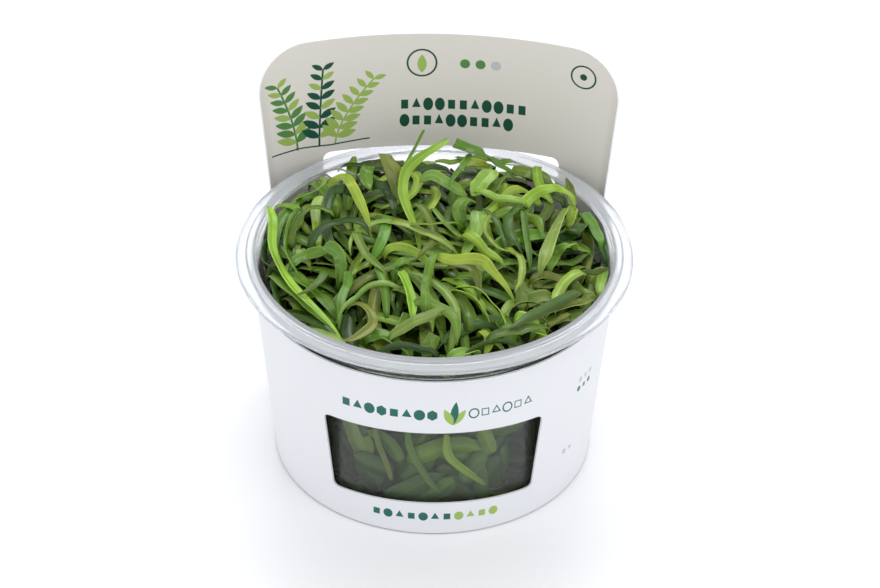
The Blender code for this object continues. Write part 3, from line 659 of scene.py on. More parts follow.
# Tone, width, roll in degrees, and the midrib as seen in the photograph, each point as
# (pixel right, pixel down, height above the dome).
TOP_LEAVES = {
    "left_long": ("lime", 2.4, 0, [
        (269, 207, 9), (273, 220, 8), (273, 246, 4), (282, 268, 1), (294, 286, 1), (314, 306, 1),
        (343, 334, 1)]),
    "left_broad": ("green", 4.4, 0, [(286, 268, 0), (306, 283, 0), (323, 297, 0), (337, 316, 0)]),
    "left_fork": ("green", 2.2, 0, [(348, 271, 4), (348, 282, 3), (342, 298, 1.5), (339, 324, 0.5)]),
    "left_shelf": ("green", 3.0, 20, [(290, 265, 0), (302, 257, 1), (318, 252, 2), (332, 250, 2)]),
    "left_droop": ("green", 3.2, 15, [(324, 246, 4), (336, 251, 4), (341, 263, 2), (338, 283, 0.5)]),
    "dark_hoop": ("dark", 2.8, 10, [
        (353, 195, 4), (344, 189, 6), (333, 192, 5), (327, 208, 3), (327, 228, 1), (333, 246, 0),
        (350, 258, 0)]),
    "hoop_arch": ("lime", 2.6, 20, [
        (328, 187, 4), (336, 180, 5.5), (346, 178, 6), (353, 187, 5), (359, 199, 3), (366, 215, 1.5),
        (371, 233, 0.5)]),
    "left_upright": ("lime", 2.8, 0, [(322, 196, 5), (316, 208, 4), (318, 228, 2), (319, 248, 1)]),
    "left_back_lying": ("green", 2.4, 0, [
        (320, 195, 2), (306, 198, 1.5), (293, 204, 1), (284, 215, 1), (280, 230, 0.5), (277, 248, 0)]),
    "knob": ("green", 3.4, 0, [(369, 166, 8), (366, 176, 6), (370, 190, 3)]),
    "dark_arch": ("dark", 2.6, 20, [
        (362, 188, 3), (371, 184, 5), (384, 187, 5), (392, 199, 2.5), (395, 216, 0.5)]),
    "cut_olive": ("olive", 4.6, 0, [(385, 154, 12), (393, 170, 9), (400, 188, 5), (404, 204, 2)]),
    "grass_tip": ("green", 1.3, 0, [
        (424, 130, 13), (417, 144, 10), (410, 157, 8), (405, 168, 6), (402, 180, 4)]),
    "tall_arc": ("lime", 2.8, 10, [
        (448, 139, 16), (436, 147, 15), (419, 158, 12), (406, 172, 9), (403, 192, 6), (409, 212, 3),
        (417, 232, 1), (420, 250, 0)]),
    "back_fold": ("pale", 3.2, 25, [
        (420, 180, 5), (432, 175, 7), (446, 182, 6), (458, 190, 4), (469, 198, 2)]),
    "back_dark": ("green", 2.6, 25, [
        (455, 143, 12), (469, 148, 12), (483, 153, 11), (492, 161, 8), (505, 168, 6), (513, 173, 5)]),
    "back_yellow": ("lime", 2.6, 20, [(460, 165, 6), (474, 162, 7), (490, 167, 6)]),
    "right_back": ("olive", 3.6, 20, [(512, 169, 5), (530, 173, 6), (548, 179, 5), (560, 188, 2)]),
    "up_leaf": ("green", 2.4, 0, [(508, 174, 7), (496, 184, 5), (486, 198, 3)]),
    "wide_back": ("pale", 4.2, 0, [(494, 170, 8), (482, 182, 6), (472, 196, 3)]),
    "oval_knob": ("green", 3.4, 10, [(462, 224, 1), (459, 208, 4), (466, 200, 5), (476, 203, 4)]),
    "pale_oval": ("pale", 4.2, 0, [(477, 211, 3), (478, 227, 2), (471, 242, 1), (463, 256, 0)]),
    "right_small_hoop": ("lime", 2.2, 20, [(500, 207, 1), (507, 194, 4), (518, 189, 5), (530, 193, 3)]),
    "right_arch": ("lime", 3.0, 20, [
        (516, 217, 1), (527, 201, 4), (541, 191, 6), (556, 189, 6), (568, 196, 4), (574, 205, 2)]),
    "right_oval": ("lime", 2.8, 0, [(573, 207, 4), (571, 216, 3), (569, 228, 1)]),
    "right_blade": ("pale", 3.4, 0, [
        (566, 208, 6), (558, 222, 4), (550, 241, 3), (544, 257, 1.5), (539, 273, 0)]),
    "right_pale": ("pale", 3.0, 0, [(574, 243, 1), (560, 248, 2), (552, 260, 1.5), (550, 270, 0)]),
    "right_lying": ("green", 3.6, 20, [(552, 234, 0.5), (524, 236, 1), (502, 244, 1), (487, 258, 0)]),
    "right_edge_twist": ("green", 2.8, 0, [(583, 209, 2), (590, 222, 2), (597, 235, 1), (599, 246, 0)]),
    "right_dark_broad": ("dark", 3.6, 10, [(583, 222, 1), (571, 234, 1), (557, 242, 0)]),
    "right_rim_curl": ("dark", 2.8, 0, [(598, 224, 0), (605, 233, 2), (609, 245, 2), (608, 262, 0)]),
    "right_rim_bright": ("lime", 2.6, 0, [(604, 266, 0), (606, 280, 0), (600, 296, 0)]),
    "right_hook": ("olive", 2.4, 10, [
        (586, 265, 1), (575, 269, 2), (573, 281, 1.5), (582, 290, 1), (597, 293, 0)]),
    "right_v": ("olive", 3.0, 0, [(519, 280, 3), (521, 293, 2), (522, 311, 0.5)]),
    "centre_arch": ("green", 2.2, 20, [(395, 277, 0), (395, 267, 2), (402, 261, 3), (412, 263, 2)]),
    "centre_flag": ("lime", 2.8, 0, [(401, 271, 3), (407, 284, 2.5), (412, 300, 1.5), (413, 320, 0)]),
    "centre_left_v": ("green", 2.8, 0, [(387, 216, 3), (385, 232, 3), (379, 247, 2), (370, 263, 0)]),
    "centre_branch": ("lime", 2.2, 20, [
        (384, 251, 2), (395, 247, 3), (410, 250, 3), (424, 259, 2), (434, 272, 0)]),
    "centre_claw": ("lime", 2.8, 20, [
        (437, 256, 3), (452, 260, 4.5), (470, 259, 5.5), (483, 261, 5), (494, 273, 3.5), (515, 296, 1)]),
    "claw_droop": ("olive", 2.4, 20, [
        (446, 265, 1), (460, 264, 2), (472, 268, 2.5), (478, 280, 1.5), (479, 296, 0)]),
    "back_stalk": ("green", 1.6, 0, [(471, 154, 10), (463, 165, 8.5), (454, 177, 6), (449, 188, 3)]),
    "right_tip": ("olive", 2.4, 0, [(572, 206, 2.5), (571, 193, 5.5), (566, 178, 9)]),
    "front_ring": ("olive", 2.4, 0, [
        (345, 306, 0.5), (360, 304, 2), (371, 313, 3), (372, 325, 3), (358, 336, 4), (334, 347, 6)]),
    "front_left_lying": ("green", 4.0, 0, [(364, 336, 0.5), (384, 335, 1), (399, 345, 1), (412, 357, 0)]),
    "front_grey": ("olive", 2.2, 0, [(408, 311, 1), (402, 324, 1), (393, 338, 0)]),
    "front_stub": ("green", 3.4, 0, [(436, 333, 2), (430, 345, 1), (424, 356, 0)]),
    "front_hook": ("lime", 2.2, 0, [(479, 329, 1), (487, 335, 2), (489, 344, 1.5), (484, 357, 0)]),
    "front_oval": ("pale", 3.0, 15, [(477, 350, 1), (462, 352, 2), (448, 358, 1)]),
    "front_glassy": ("green", 3.6, 0, [(498, 317, 1), (508, 328, 1), (512, 346, 0)]),
    "front_bright": ("lime", 4.4, 10, [(513, 317, 1), (527, 322, 2), (540, 330, 2), (550, 336, 1)]),
    "front_sprout": ("olive", 1.8, 10, [(547, 326, 1), (558, 319, 2), (571, 312, 2)]),
    "right_olive": ("olive", 3.4, 20, [(524, 303, 0.5), (540, 297, 1), (556, 296, 0.5)]),
    "right_olive_arch": ("olive", 2.6, 20, [(528, 280, 0), (545, 275, 2), (560, 280, 1), (565, 292, 0)]),
    "front_right_lying": ("pale", 3.2, 10, [(545, 311, 0), (570, 305, 0.5), (594, 297, 0)]),
}
CUT_LEAVES = ("cut_olive", "knob", "back_dark", "front_stub")


def dome_height(x, y):
    """The low dome from which the heights of the leaves on top are counted."""
    share = (x * x + y * y) / HEAP_RADIUS**2
    return HEAP_EDGE + HEAP_RISE * (1 - share)


def heap_height(x, y):
    """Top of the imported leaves, without its lumps: fuller along the back, with a dip at the wall there."""
    share = (x * x + y * y) / HEAP_RADIUS**2
    behind = 0.5 + 0.5 * y / (y * y + BACK_SPREAD**2) ** 0.5
    from_dip = ((x - DIP_X) ** 2 + (y - HEAP_RADIUS) ** 2) / DIP_WIDE**2
    return dome_height(x, y) + BACK_RISE * share * behind - DIP_DEPTH / (1 + from_dip) ** 2


def seen_point(right_px, down_px, lift):
    """The point seen at this pixel, at this height above the dome."""
    way = photo_ray(right_px, down_px)
    near = PHOTO_DISTANCE * 0.85
    far = PHOTO_DISTANCE * 1.1
    for _ in range(30):
        middle = (near + far) / 2
        point = camera_place + way * middle
        if point.z > dome_height(point.x, point.y) + lift + LEAF_THICK:
            near = middle
        else:
            far = middle
    return camera_place + way * far


def spline_point(points, share):
    """A point on the smooth curve through these points, share being 0 at the first and 1 at the last."""
    place = share * (len(points) - 1)
    index = min(int(place), len(points) - 2)
    part = place - index
    first = points[max(index - 1, 0)]
    second = points[index]
    third = points[index + 1]
    fourth = points[min(index + 2, len(points) - 1)]
    bend = 2 * first - 5 * second + 4 * third - fourth
    turn = 3 * (second - third) + fourth - first
    return 0.5 * (2 * second + (third - first) * part + bend * part**2 + turn * part**3)


def spline_way(points, share):
    """The way along the curve there."""
    return spline_point(points, min(1, share + 0.02)) - spline_point(points, max(0, share - 0.02))


def half_width(width, share, cut=False):
    """Half the leaf's width: narrow where it leaves the stem, unless cut there, and pointed at the tip."""
    foot = 1.0 if cut else min(1.0, 0.45 + share * 2.2)
    end = max(0.0, min(1.0, (1.02 - share) / LEAF_TIP_SHARE)) ** 0.7
    return max(LEAF_LEAST_HALF, 0.5 * width * foot * (0.12 + 0.88 * end))


def blade_half(width, share, cut=False):
    """Half a blade's width: nearly the same all along, rounded in at the foot and drawn out at the tip."""
    foot = 1.0 if cut else min(1.0, 0.5 + share * 4)
    end = max(0.0, min(1.0, (1 - share) / BLADE_TIP_SHARE)) ** 0.75
    return 0.5 * width * foot * (0.06 + 0.94 * end)


def ribbon_rows(points, width, roll, cut=False, count=LEAF_ROWS, half_at=half_width):
    """Rows of three points, left, middle and right, along a leaf whose broad side faces up."""
    rows = []
    side = None
    for step in range(count + 1):
        share = step / count
        here = spline_point(points, share)
        ahead = spline_way(points, share).normalized()
        level = ahead.cross(Vector((0, 0, 1)))
        if level.length > 0.35:
            level.normalize()
        elif side is not None:
            level = (side - ahead * side.dot(ahead)).normalized()
        else:
            level = Vector((1, 0, 0))
        if side is not None and level.dot(side) < 0:
            level.negate()
        side = level
        normal = ahead.cross(level)
        sense = 1 if normal.z > 0 else -1
        tilt = math.radians(roll) * (1 if level.y < 0 else -1)
        across = level * math.cos(tilt) - normal * sense * math.sin(tilt)
        half = half_at(width, share, cut)
        rows.append([here - across * half, here.copy(), here + across * half])
    return rows


class Layers:
    """How high the leaves laid so far reach over each small cell, so that the next lies on them."""

    def __init__(self):
        self.tops = {}

    def cell(self, x, y):
        return round(x / LAYER_CELL), round(y / LAYER_CELL)

    def top(self, x, y):
        across, along = self.cell(x, y)
        highest = heap_height(x, y) + LEAF_THICK * 0.2
        if math.hypot(x, y) > MOUTH_RADIUS - 0.4:
            highest = CUP_HEIGHT + BEAD_HEIGHT
        for shift_x in (-1, 0, 1):
            for shift_y in (-1, 0, 1):
                laid = self.tops.get((across + shift_x, along + shift_y))
                if laid is not None and laid > highest:
                    highest = laid
        return highest

    def lay(self, rows):
        for x, y, z, _ in fine_points(rows):
            cell = self.cell(x, y)
            self.tops[cell] = max(self.tops.get(cell, -1), z + LEAF_THICK / 2)


def fine_points(rows):
    """Points close together all over a ribbon, each with its place along, counted in rows."""
    for index in range(len(rows) - 1):
        first = rows[index]
        second = rows[index + 1]
        along_steps = max(2, math.ceil((second[1] - first[1]).length / FINE_STEP))
        across_steps = max(2, math.ceil((first[2] - first[0]).length / FINE_STEP))
        for along_step in range(along_steps + 1):
            along = along_step / along_steps
            line = [a.lerp(b, along) for a, b in zip(first, second)]
            for across_step in range(across_steps + 1):
                across = across_step / across_steps * 2
                if across <= 1:
                    point = line[0].lerp(line[1], across)
                else:
                    point = line[1].lerp(line[2], across - 1)
                yield point.x, point.y, point.z, index + along


def keep_in_mouth(rows):
    """Rows below the flange move inwards, whole, till they are clear of the cup's wall."""
    over_flange = CUP_HEIGHT + BEAD_HEIGHT + LEAF_GAP
    for row in rows:
        inward = 0.0
        for point in row:
            most = cup_inner_radius(min(point.z, CUP_HEIGHT)) - WALL_CLEAR
            if point.z < over_flange + 1:
                inward = max(inward, math.hypot(point.x, point.y) - most)
        way = Vector((row[1].x, row[1].y, 0)).normalized()
        for point in row:
            point -= way * inward


def lay_leaf(layers, points, width, roll, cut=False):
    """A leaf's rows, drawn up towards the camera where they would sink into what is already laid."""
    rows = ribbon_rows(points, width, roll, cut)
    steep = math.tan(PHOTO_PITCH)
    towards = Vector((math.sin(PHOTO_YAW), -math.cos(PHOTO_YAW), steep)) / steep
    for attempt in range(LAY_TRIES):
        keep_in_mouth(rows)
        need = [0.0] * len(rows)
        for x, y, z, place in fine_points(rows):
            short = layers.top(x, y) + LEAF_GAP + LEAF_THICK / 2 - z
            if short > 0:
                for index in (math.floor(place), math.ceil(place)):
                    need[index] = max(need[index], short)
        beside = [0.0] + need + [0.0]
        need = [max(own, (beside[index] + beside[index + 2]) / 2) for index, own in enumerate(need)]
        way = towards if attempt < LAY_TRIES - 1 else Vector((0, 0, 1))
        for row, raised in zip(rows, need):
            for point in row:
                point += way * raised
    layers.lay(rows)
    return rows


def moved_rows(points, width, roll, cut, laid):
    """A leaf's rows at a finer step, moved as its laid rows were."""
    coarse = ribbon_rows(points, width, roll, cut)
    moves = [there[1] - here[1] for here, there in zip(coarse, laid)]
    rows = ribbon_rows(points, width, roll, cut, BLADE_ROWS, blade_half)
    for step, row in enumerate(rows):
        for point in row:
            point += spline_point(moves, step / BLADE_ROWS)
    return rows


def bury_ends(rows, foot, tip):
    """The leaf's ends go down between the leaves under it."""
    count = len(rows) - 1
    for step, row in enumerate(rows):
        share = step / count
        sunk = foot * max(0.0, 1 - share / BURIED_SHARE) ** 2
        sunk += tip * max(0.0, 1 - (1 - share) / BURIED_SHARE) ** 2
        for point in row:
            point.z -= sunk


def blade_points(rows, cup, chance):
    """A fine grid of points over a leaf's rows: folded along the midrib, faintly twisted, and waved."""
    grid = []
    phase = chance.uniform(0, math.tau)
    twist = chance.uniform(-0.7, 0.7)
    fold = chance.uniform(0.2, 0.9)
    count = len(rows) - 1
    for step, (left, middle, right) in enumerate(rows):
        share = step / count
        half = (right - left) / 2
        ahead = rows[min(step + 1, count)][1] - rows[max(step - 1, 0)][1]
        up = ahead.cross(half).normalized()
        if up.z < 0:
            up.negate()
        wide = half.length
        turn = twist * math.sin(share * 3 + phase)
        line = []
        for column in range(BLADE_COLUMNS + 1):
            across = column / BLADE_COLUMNS * 2 - 1
            bowl = across * across * (1 - fold) + abs(across) * fold
            rise = cup * wide * (bowl - 0.45) + wide * across * math.sin(turn)
            wave = 0.11 * wide * abs(across) * math.sin(phase + share * 13 + across * 1.3)
            crease = -0.07 * max(0.0, 1 - abs(across) * 4)
            line.append(middle + half * across * math.cos(turn) + up * (rise + wave + crease))
        grid.append(line)
    return grid


def add_blade(mesh_data, grid, tint):
    """A leaf blade: a grid of cells, bent to these points and tinted."""
    rows = len(grid) - 1
    columns = len(grid[0]) - 1
    made = bmesh.ops.create_grid(mesh_data, x_segments=rows, y_segments=columns, size=1, calc_uvs=True)
    layer = mesh_data.verts.layers.float_color["tint"]
    for vert in made["verts"]:
        row = round((vert.co.x + 1) / 2 * rows)
        column = round((vert.co.y + 1) / 2 * columns)
        vert.co = grid[row][column]
        vert[layer] = (*tint, 1)


def leaf_mesh():
    """An empty mesh for blades, with their map and tint."""
    mesh_data = bmesh.new()
    mesh_data.loops.layers.uv.new("blade")
    mesh_data.verts.layers.float_color.new("tint")
    return mesh_data


def shifted(tree, colour, hue, saturation, value):
    """The colour with its hue turned (0.5 leaves it), and its saturation and value multiplied."""
    changes = {"Hue": hue, "Saturation": saturation, "Value": value, "Color": colour}
    return add_node(tree, "HueSaturation", changes)


def leaf_look(name):
    """Wet leaf: parallel veins, pale midrib and edges, one half darker as painted shade, cloudy, lit through.
    """
    made, tree, shader = material(name)
    blade = add_node(tree, "UVMap", {}, uv_map="blade")
    tint = add_node(tree, "Attribute", {}, attribute_name="tint")
    across = add_node(tree, "SeparateXYZ", {0: blade}, 1)
    from_middle = add_node(tree, "Math", {0: across, 1: 0.5}, operation="SUBTRACT")
    away = add_node(tree, "Math", {0: from_middle}, operation="ABSOLUTE")
    stretched = add_node(tree, "VectorMath", {0: blade, 1: (2.5, 22.0, 1.0)}, operation="MULTIPLY")
    streaks = noise(tree, stretched, 1.0, 3.0)
    clouds = noise(tree, object_place(tree), 170.0, 3.0)
    lighter = shifted(tree, tint, 0.488, 0.92, 1.55)
    darker = shifted(tree, tint, 0.515, 1.0, 0.5)
    tone = mixed(tree, ranged(tree, clouds, 0.35, 0.7, 0, 1), darker, lighter)
    tone = mixed(tree, ranged(tree, streaks, 0.3, 0.75, 0, 0.6), tint, tone)
    tone = mixed(tree, ranged(tree, away, 0, 0.09, 0.45, 0, "SMOOTHSTEP"), tone, lighter)
    # Painted shade: one side of the midrib is darkened, as if the blade's fold turned it from the light.
    tone = mixed(tree, ranged(tree, across, 0.46, 0.54, 0, 0.3), tone, darker)
    tone = mixed(tree, ranged(tree, away, 0.4, 0.5, 0, 0.4), tone, lighter)
    vein_turn = add_node(tree, "Math", {0: across, 1: VEINS * math.tau}, operation="MULTIPLY")
    veins = add_node(tree, "Math", {0: vein_turn}, operation="SINE")
    relief = add_node(tree, "Math", {0: veins, 1: streaks, 2: streaks}, operation="MULTIPLY_ADD")
    fill_inputs(tree, shader, {
        "Base Color": tone,
        "Roughness": ranged(tree, clouds, 0, 1, 0.14, 0.34),
        "Normal": bump(tree, relief, 0.5, 0.00007),
        "Subsurface Weight": 0.3,
        "Subsurface Radius": (0.8, 1.0, 0.1),
        "Subsurface Scale": 0.0006,
        "Coat Weight": 0.4,
        "Coat Roughness": 0.08,
        "Specular IOR Level": 0.12,
    })
    return made


wet_leaf = leaf_look("wet_leaf")


def finish_leaves(name, mesh_data, nodes=()):
    """A leaf piece in its place: thickened, riding on the cup, and standing for its solids."""
    made = place_object(name, mesh_data, [wet_leaf])
    thicken = made.modifiers.new("blade", "SOLIDIFY")
    thicken.thickness = BLADE_THICK * MM
    thicken.offset = 0
    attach(made, "root")
    if nodes:
        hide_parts(*nodes)


chance = np.random.default_rng(11)
leaf_paths = {}
for leaf_name, (_, _, _, seen) in TOP_LEAVES.items():
    leaf_paths[leaf_name] = [seen_point(*place) for place in seen]
laying_order = sorted(
    leaf_paths, key=lambda name: sum(point.z for point in leaf_paths[name]) / len(leaf_paths[name]))
layers = Layers()
laid_leaves = []
for leaf_name in laying_order:
    tone, width, roll, _ = TOP_LEAVES[leaf_name]
    was_cut = leaf_name in CUT_LEAVES
    laid_rows = lay_leaf(layers, leaf_paths[leaf_name], width, roll, was_cut)
    laid_leaves.append(laid_rows)
    rows = moved_rows(leaf_paths[leaf_name], width, roll, was_cut, laid_rows)
    lifts = [place[2] for place in TOP_LEAVES[leaf_name][3]]
    bury_ends(rows, BURIED_DEPTH * (lifts[0] < BURIED_UNDER), BURIED_DEPTH * (lifts[-1] < BURIED_UNDER))
    leaf_bm = leaf_mesh()
    tint = [part * chance.uniform(0.85, 1.15) for part in LEAF_TINTS[tone]]
    add_blade(leaf_bm, blade_points(rows, chance.uniform(-0.12, 0.34), chance), tint)
    finish_leaves("blade_" + leaf_name, leaf_bm, ["leaf_" + leaf_name])


# Three more blades stand pressed flat against the cup's wall behind the sleeve's window. They are of the
# same soft leaf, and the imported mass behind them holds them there.

WINDOW_LEAVES = {
    "window_strip_left": ("olive", 2.0, [(-20, 31), (-19, 26), (-16, 20), (-14, 15)]),
    "window_strip_middle": ("green", 1.8, [(-8, 33), (-7, 26), (-1, 17), (4, 12)]),
    "window_strip_right": ("lime", 2.2, [(6, 31), (7, 24), (14, 18), (21, 13)]),
}
HEAP_GAP = 1.5


def wall_point(azimuth, height, depth):
    """A point this deep inside the cup's wall, its azimuth in radians from the front."""
    radius = cup_inner_radius(height) - depth
    return Vector((radius * math.sin(azimuth), -radius * math.cos(azimuth), height))


for leaf_name, (tone, width, path) in WINDOW_LEAVES.items():
    places = [Vector((azimuth, height, 0)) for azimuth, height in path]
    rows = []
    for step in range(BLADE_ROWS + 1):
        share = step / BLADE_ROWS
        here = spline_point(places, share)
        reach = cup_inner_radius(here.y) - HEAP_GAP / 2
        ahead = spline_way(places, share)
        arc_run = math.radians(ahead.x) * reach
        length = math.hypot(arc_run, ahead.y)
        half = half_width(width, share)
        row = []
        for side in (-1, 0, 1):
            azimuth = math.radians(here.x) - side * half * ahead.y / length / reach
            row.append(wall_point(azimuth, here.y + side * half * arc_run / length, HEAP_GAP / 2))
        rows.append(row)
    leaf_bm = leaf_mesh()
    add_blade(leaf_bm, blade_points(rows, 0.0, chance), LEAF_TINTS[tone])
    finish_leaves("blade_" + leaf_name, leaf_bm, ["leaf_" + leaf_name])


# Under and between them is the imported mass: more blades of the same leaf, lying every way. They are laid
# here one on another: long ones and short ones up to the heap's top, arched ones over it, and slender ones
# and two thin rootlets over all.

PILE_CELL = 0.6
PILE_DEPTH = 13.0
PILE_GAP = 0.08
SAMPLE_ROWS = 25
SMALL_ROWS = 12
SMALL_COLUMNS = 2
HEAP_COUNT = 860
SHORT_COUNT = 260
HEAP_SPREAD = 42
HEAP_ROOM = 0.3
UPPER_COUNT = 260
UPPER_SPREAD = 43
UPPER_ROOM = 3.4
COVER_COUNT = 46
COVER_SPREAD = 41
COVER_ROOM = 2
SPOT_TRIES = 14
LEAF_TRIES = 12
HEAP_REACH = 47.0
# How much darker a heap blade's tint is painted, as shade, per millimetre below the heap's top, and down to
# how deep.
DEEP_SHADE = 0.09
DEEP_MOST = 6.0


class Pile:
    """Leaves laid one on another over a flat map, which keeps how high they reach."""

    def __init__(self, half_x, low_y, high_y, level):
        self.low = np.array((-half_x, low_y))
        self.size = (int(2 * half_x / PILE_CELL) + 2, int((high_y - low_y) / PILE_CELL) + 2)
        xs = self.low[0] + np.arange(self.size[0]) * PILE_CELL
        ys = self.low[1] + np.arange(self.size[1]) * PILE_CELL
        self.top = level(*np.meshgrid(xs, ys, indexing="ij")).astype(float)

    def cells(self, places):
        found = np.rint((places - self.low) / PILE_CELL).astype(int)
        return np.clip(found[..., 0], 1, self.size[0] - 2), np.clip(found[..., 1], 1, self.size[1] - 2)

    def reach(self, places):
        return self.top[self.cells(places)]

    def lay(self, places, heights):
        across, along = self.cells(places)
        for shift_x in (-1, 0, 1):
            for shift_y in (-1, 0, 1):
                np.maximum.at(self.top, (across + shift_x, along + shift_y), heights)


def end_share(share):
    """How far into its buried end a place along a leaf is."""
    return np.clip(1 - share / BURIED_SHARE, 0, 1) ** 2


def draped(pile, start, heading, length, width, sway, roll, arch, lift, stiff, sunk):
    """A leaf's places (row, column) on the map and its heights, resting on what lies below."""
    share = np.linspace(0, 1, SAMPLE_ROWS)
    turn = heading + sway * (share - 0.5)
    step = length / (SAMPLE_ROWS - 1)
    run = np.cumsum(np.stack([np.cos(turn), np.sin(turn)], 1) * step, 0)
    line = start + run - run[SAMPLE_ROWS // 2]
    side = np.stack([-np.sin(turn), np.cos(turn)], 1)
    half = np.array([blade_half(width, part) for part in share])
    rolled = roll * np.sin(math.pi * (share * 0.8 + 0.1))
    across = np.linspace(-1, 1, 5)
    flat = half[:, None] * np.cos(rolled)[:, None] * across
    offset = half[:, None] * np.sin(rolled)[:, None] * across
    places = line[:, None, :] + side[:, None, :] * flat[..., None]
    need = (pile.reach(places) - offset).max(1)
    along = share * length
    hull = (need[None, :] - stiff * (along[:, None] - along[None, :]) ** 2).max(1)
    hull += arch * np.sin(math.pi * share) ** 2 + lift * np.clip((share - 0.6) / 0.4, 0, 1) ** 2
    hull -= sunk * (end_share(share) + end_share(1 - share))
    heights = hull[:, None] + offset + PILE_GAP + BLADE_THICK / 2
    return places, heights


def chance_leaf(pile, start, kind):
    """A leaf of this kind, draped here over the pile, with its measures drawn by chance."""
    heading = chance.uniform(0, math.tau)
    length = chance.uniform(*kind["length"])
    width = chance.uniform(*kind["width"])
    sway = chance.normal(0, kind["sway"])
    roll = chance.normal(0, kind["roll"])
    arch = chance.uniform(0, kind["arch"])
    lift = chance.uniform(*kind["lift"]) if "lift" in kind else 0
    stiff = chance.uniform(*kind["stiff"])
    sunk = chance.uniform(*kind["sunk"]) if "sunk" in kind else 0
    return draped(pile, start, heading, length, width, sway, roll, arch, lift, stiff, sunk)


def small_blade(places, heights, to_space, cup):
    """The grid of points of a leaf in the mass, thinned from its samples."""
    rows = np.rint(np.linspace(0, SAMPLE_ROWS - 1, SMALL_ROWS + 1)).astype(int)
    columns = np.rint(np.linspace(0, 4, SMALL_COLUMNS + 1)).astype(int)
    grid = []
    for row in rows:
        line = []
        for column in columns:
            sag = cup * (0.0 if column in (0, 4) else -1.0)
            x, y = places[row, column]
            line.append(to_space(x, y, heights[row, column] + sag))
        grid.append(line)
    tip = grid[-1]
    for index in (0, SMALL_COLUMNS):
        tip[index] = tip[index].lerp(tip[SMALL_COLUMNS // 2], 0.6)
    return grid


def pick_tint(chance, weights):
    """A leaf's colour: a mix of two tones, a little lighter or darker."""
    tones = list(weights)
    odds = np.array([weights[tone] for tone in tones])
    first, second = chance.choice(len(tones), 2, p=odds / odds.sum())
    blend = np.array(LEAF_TINTS[tones[first]]) * 0.7 + np.array(LEAF_TINTS[tones[second]]) * 0.3
    light = chance.uniform(0.75, 1.25)
    return blend * light * np.array((chance.uniform(0.9, 1.1), 1, chance.uniform(0.8, 1.2)))


def heap_space(x, y, height):
    """A point of the heap, kept off the cup's wall."""
    reach = math.hypot(x, y)
    most = cup_inner_radius(min(height, CUP_HEIGHT)) - WALL_CLEAR
    if reach > most:
        x *= most / reach
        y *= most / reach
    return Vector((x, y, height))


def lay_many(mesh_data, pile, most, reach, kind, ceiling):
    """Lay leaves under a ceiling, up to this many, each where a few chance spots have the most room."""
    laid = 0
    for _ in range(most * LEAF_TRIES):
        if laid == most:
            break
        spots = chance.uniform(-reach, reach, (SPOT_TRIES, 2))
        spots = spots[np.hypot(spots[:, 0], spots[:, 1]) < reach]
        room = heap_height(spots[:, 0], spots[:, 1]) - pile.reach(spots)
        places, heights = chance_leaf(pile, spots[np.argmax(room)], kind)
        over = heights - heap_height(places[..., 0], places[..., 1])
        outside = np.hypot(places[..., 0], places[..., 1]).max() > HEAP_REACH
        if outside or (heights - ceiling[pile.cells(places)]).max() > 0:
            continue
        pile.lay(places, heights + BLADE_THICK / 2)
        # Painted shade: a blade lying below the heap's top gets a darker tint, the deeper the darker, up to a
        # limit.
        deep = 1 - DEEP_SHADE * min(DEEP_MOST, max(0.0, -over.mean()))
        tint = pick_tint(chance, HEAP_TONES) * deep
        add_blade(mesh_data, small_blade(places, heights, heap_space, chance.uniform(-0.1, 0.26)), tint)
        laid += 1


ROOTLETS = (
    [(293, 187, 4), (306, 180, 5), (320, 174, 6), (338, 169, 7), (355, 175, 6)],
    [(318, 175, 6), (326, 175, 5.5), (333, 180, 4)],
)
ROOTLET_WIDE = 0.34
ROOTLET_TINT = (0.30, 0.30, 0.27)
HEAP_TONES = {"lime": 4, "green": 6, "dark": 4, "olive": 2, "pale": 2}
LYING_LEAF = {
    "length": (17, 40), "width": (1.6, 3.5), "sway": 1.1, "roll": 0.55, "arch": 2.4,
    "lift": (-0.3, 2.2), "stiff": (0.012, 0.06), "sunk": (0.5, 3.0)}
SHORT_LEAF = {
    "length": (8, 15), "width": (1.6, 3.0), "sway": 0.9, "roll": 0.4, "arch": 0.6,
    "lift": (-0.3, 0.5), "stiff": (0.02, 0.12), "sunk": (0.5, 3.0)}
ARCHED_LEAF = {
    "length": (16, 34), "width": (1.6, 3.6), "sway": 1.5, "roll": 0.75, "arch": 5.0,
    "lift": (-0.3, 3.0), "stiff": (0.02, 0.1), "sunk": (0.5, 3.0)}
SLENDER_LEAF = {
    "length": (14, 28), "width": (1.3, 2.8), "sway": 1.5, "roll": 0.7, "arch": 3.0,
    "lift": (-0.3, 1.5), "stiff": (0.03, 0.1), "sunk": (0.5, 3.0)}

heap_bm = leaf_mesh()
heap_pile = Pile(48, -48, 48, lambda x, y: heap_height(x, y) - PILE_DEPTH)
full_height = heap_pile.top + PILE_DEPTH
lay_many(heap_bm, heap_pile, HEAP_COUNT, HEAP_SPREAD, LYING_LEAF, full_height + HEAP_ROOM)
lay_many(heap_bm, heap_pile, SHORT_COUNT, HEAP_SPREAD, SHORT_LEAF, full_height + HEAP_ROOM)
finish_leaves("heap_blades", heap_bm, ["packed_leaves"])

upper_bm = leaf_mesh()
under_laid = full_height + UPPER_ROOM
for rows in laid_leaves:
    for x, y, z, _ in fine_points(rows):
        across, along = heap_pile.cells(np.array((x, y)))
        near = (slice(across - 1, across + 2), slice(along - 1, along + 2))
        under_laid[near] = np.minimum(under_laid[near], z - LEAF_THICK / 2 - PILE_GAP)
lay_many(upper_bm, heap_pile, UPPER_COUNT, UPPER_SPREAD, ARCHED_LEAF, under_laid)
finish_leaves("upper_blades", upper_bm)

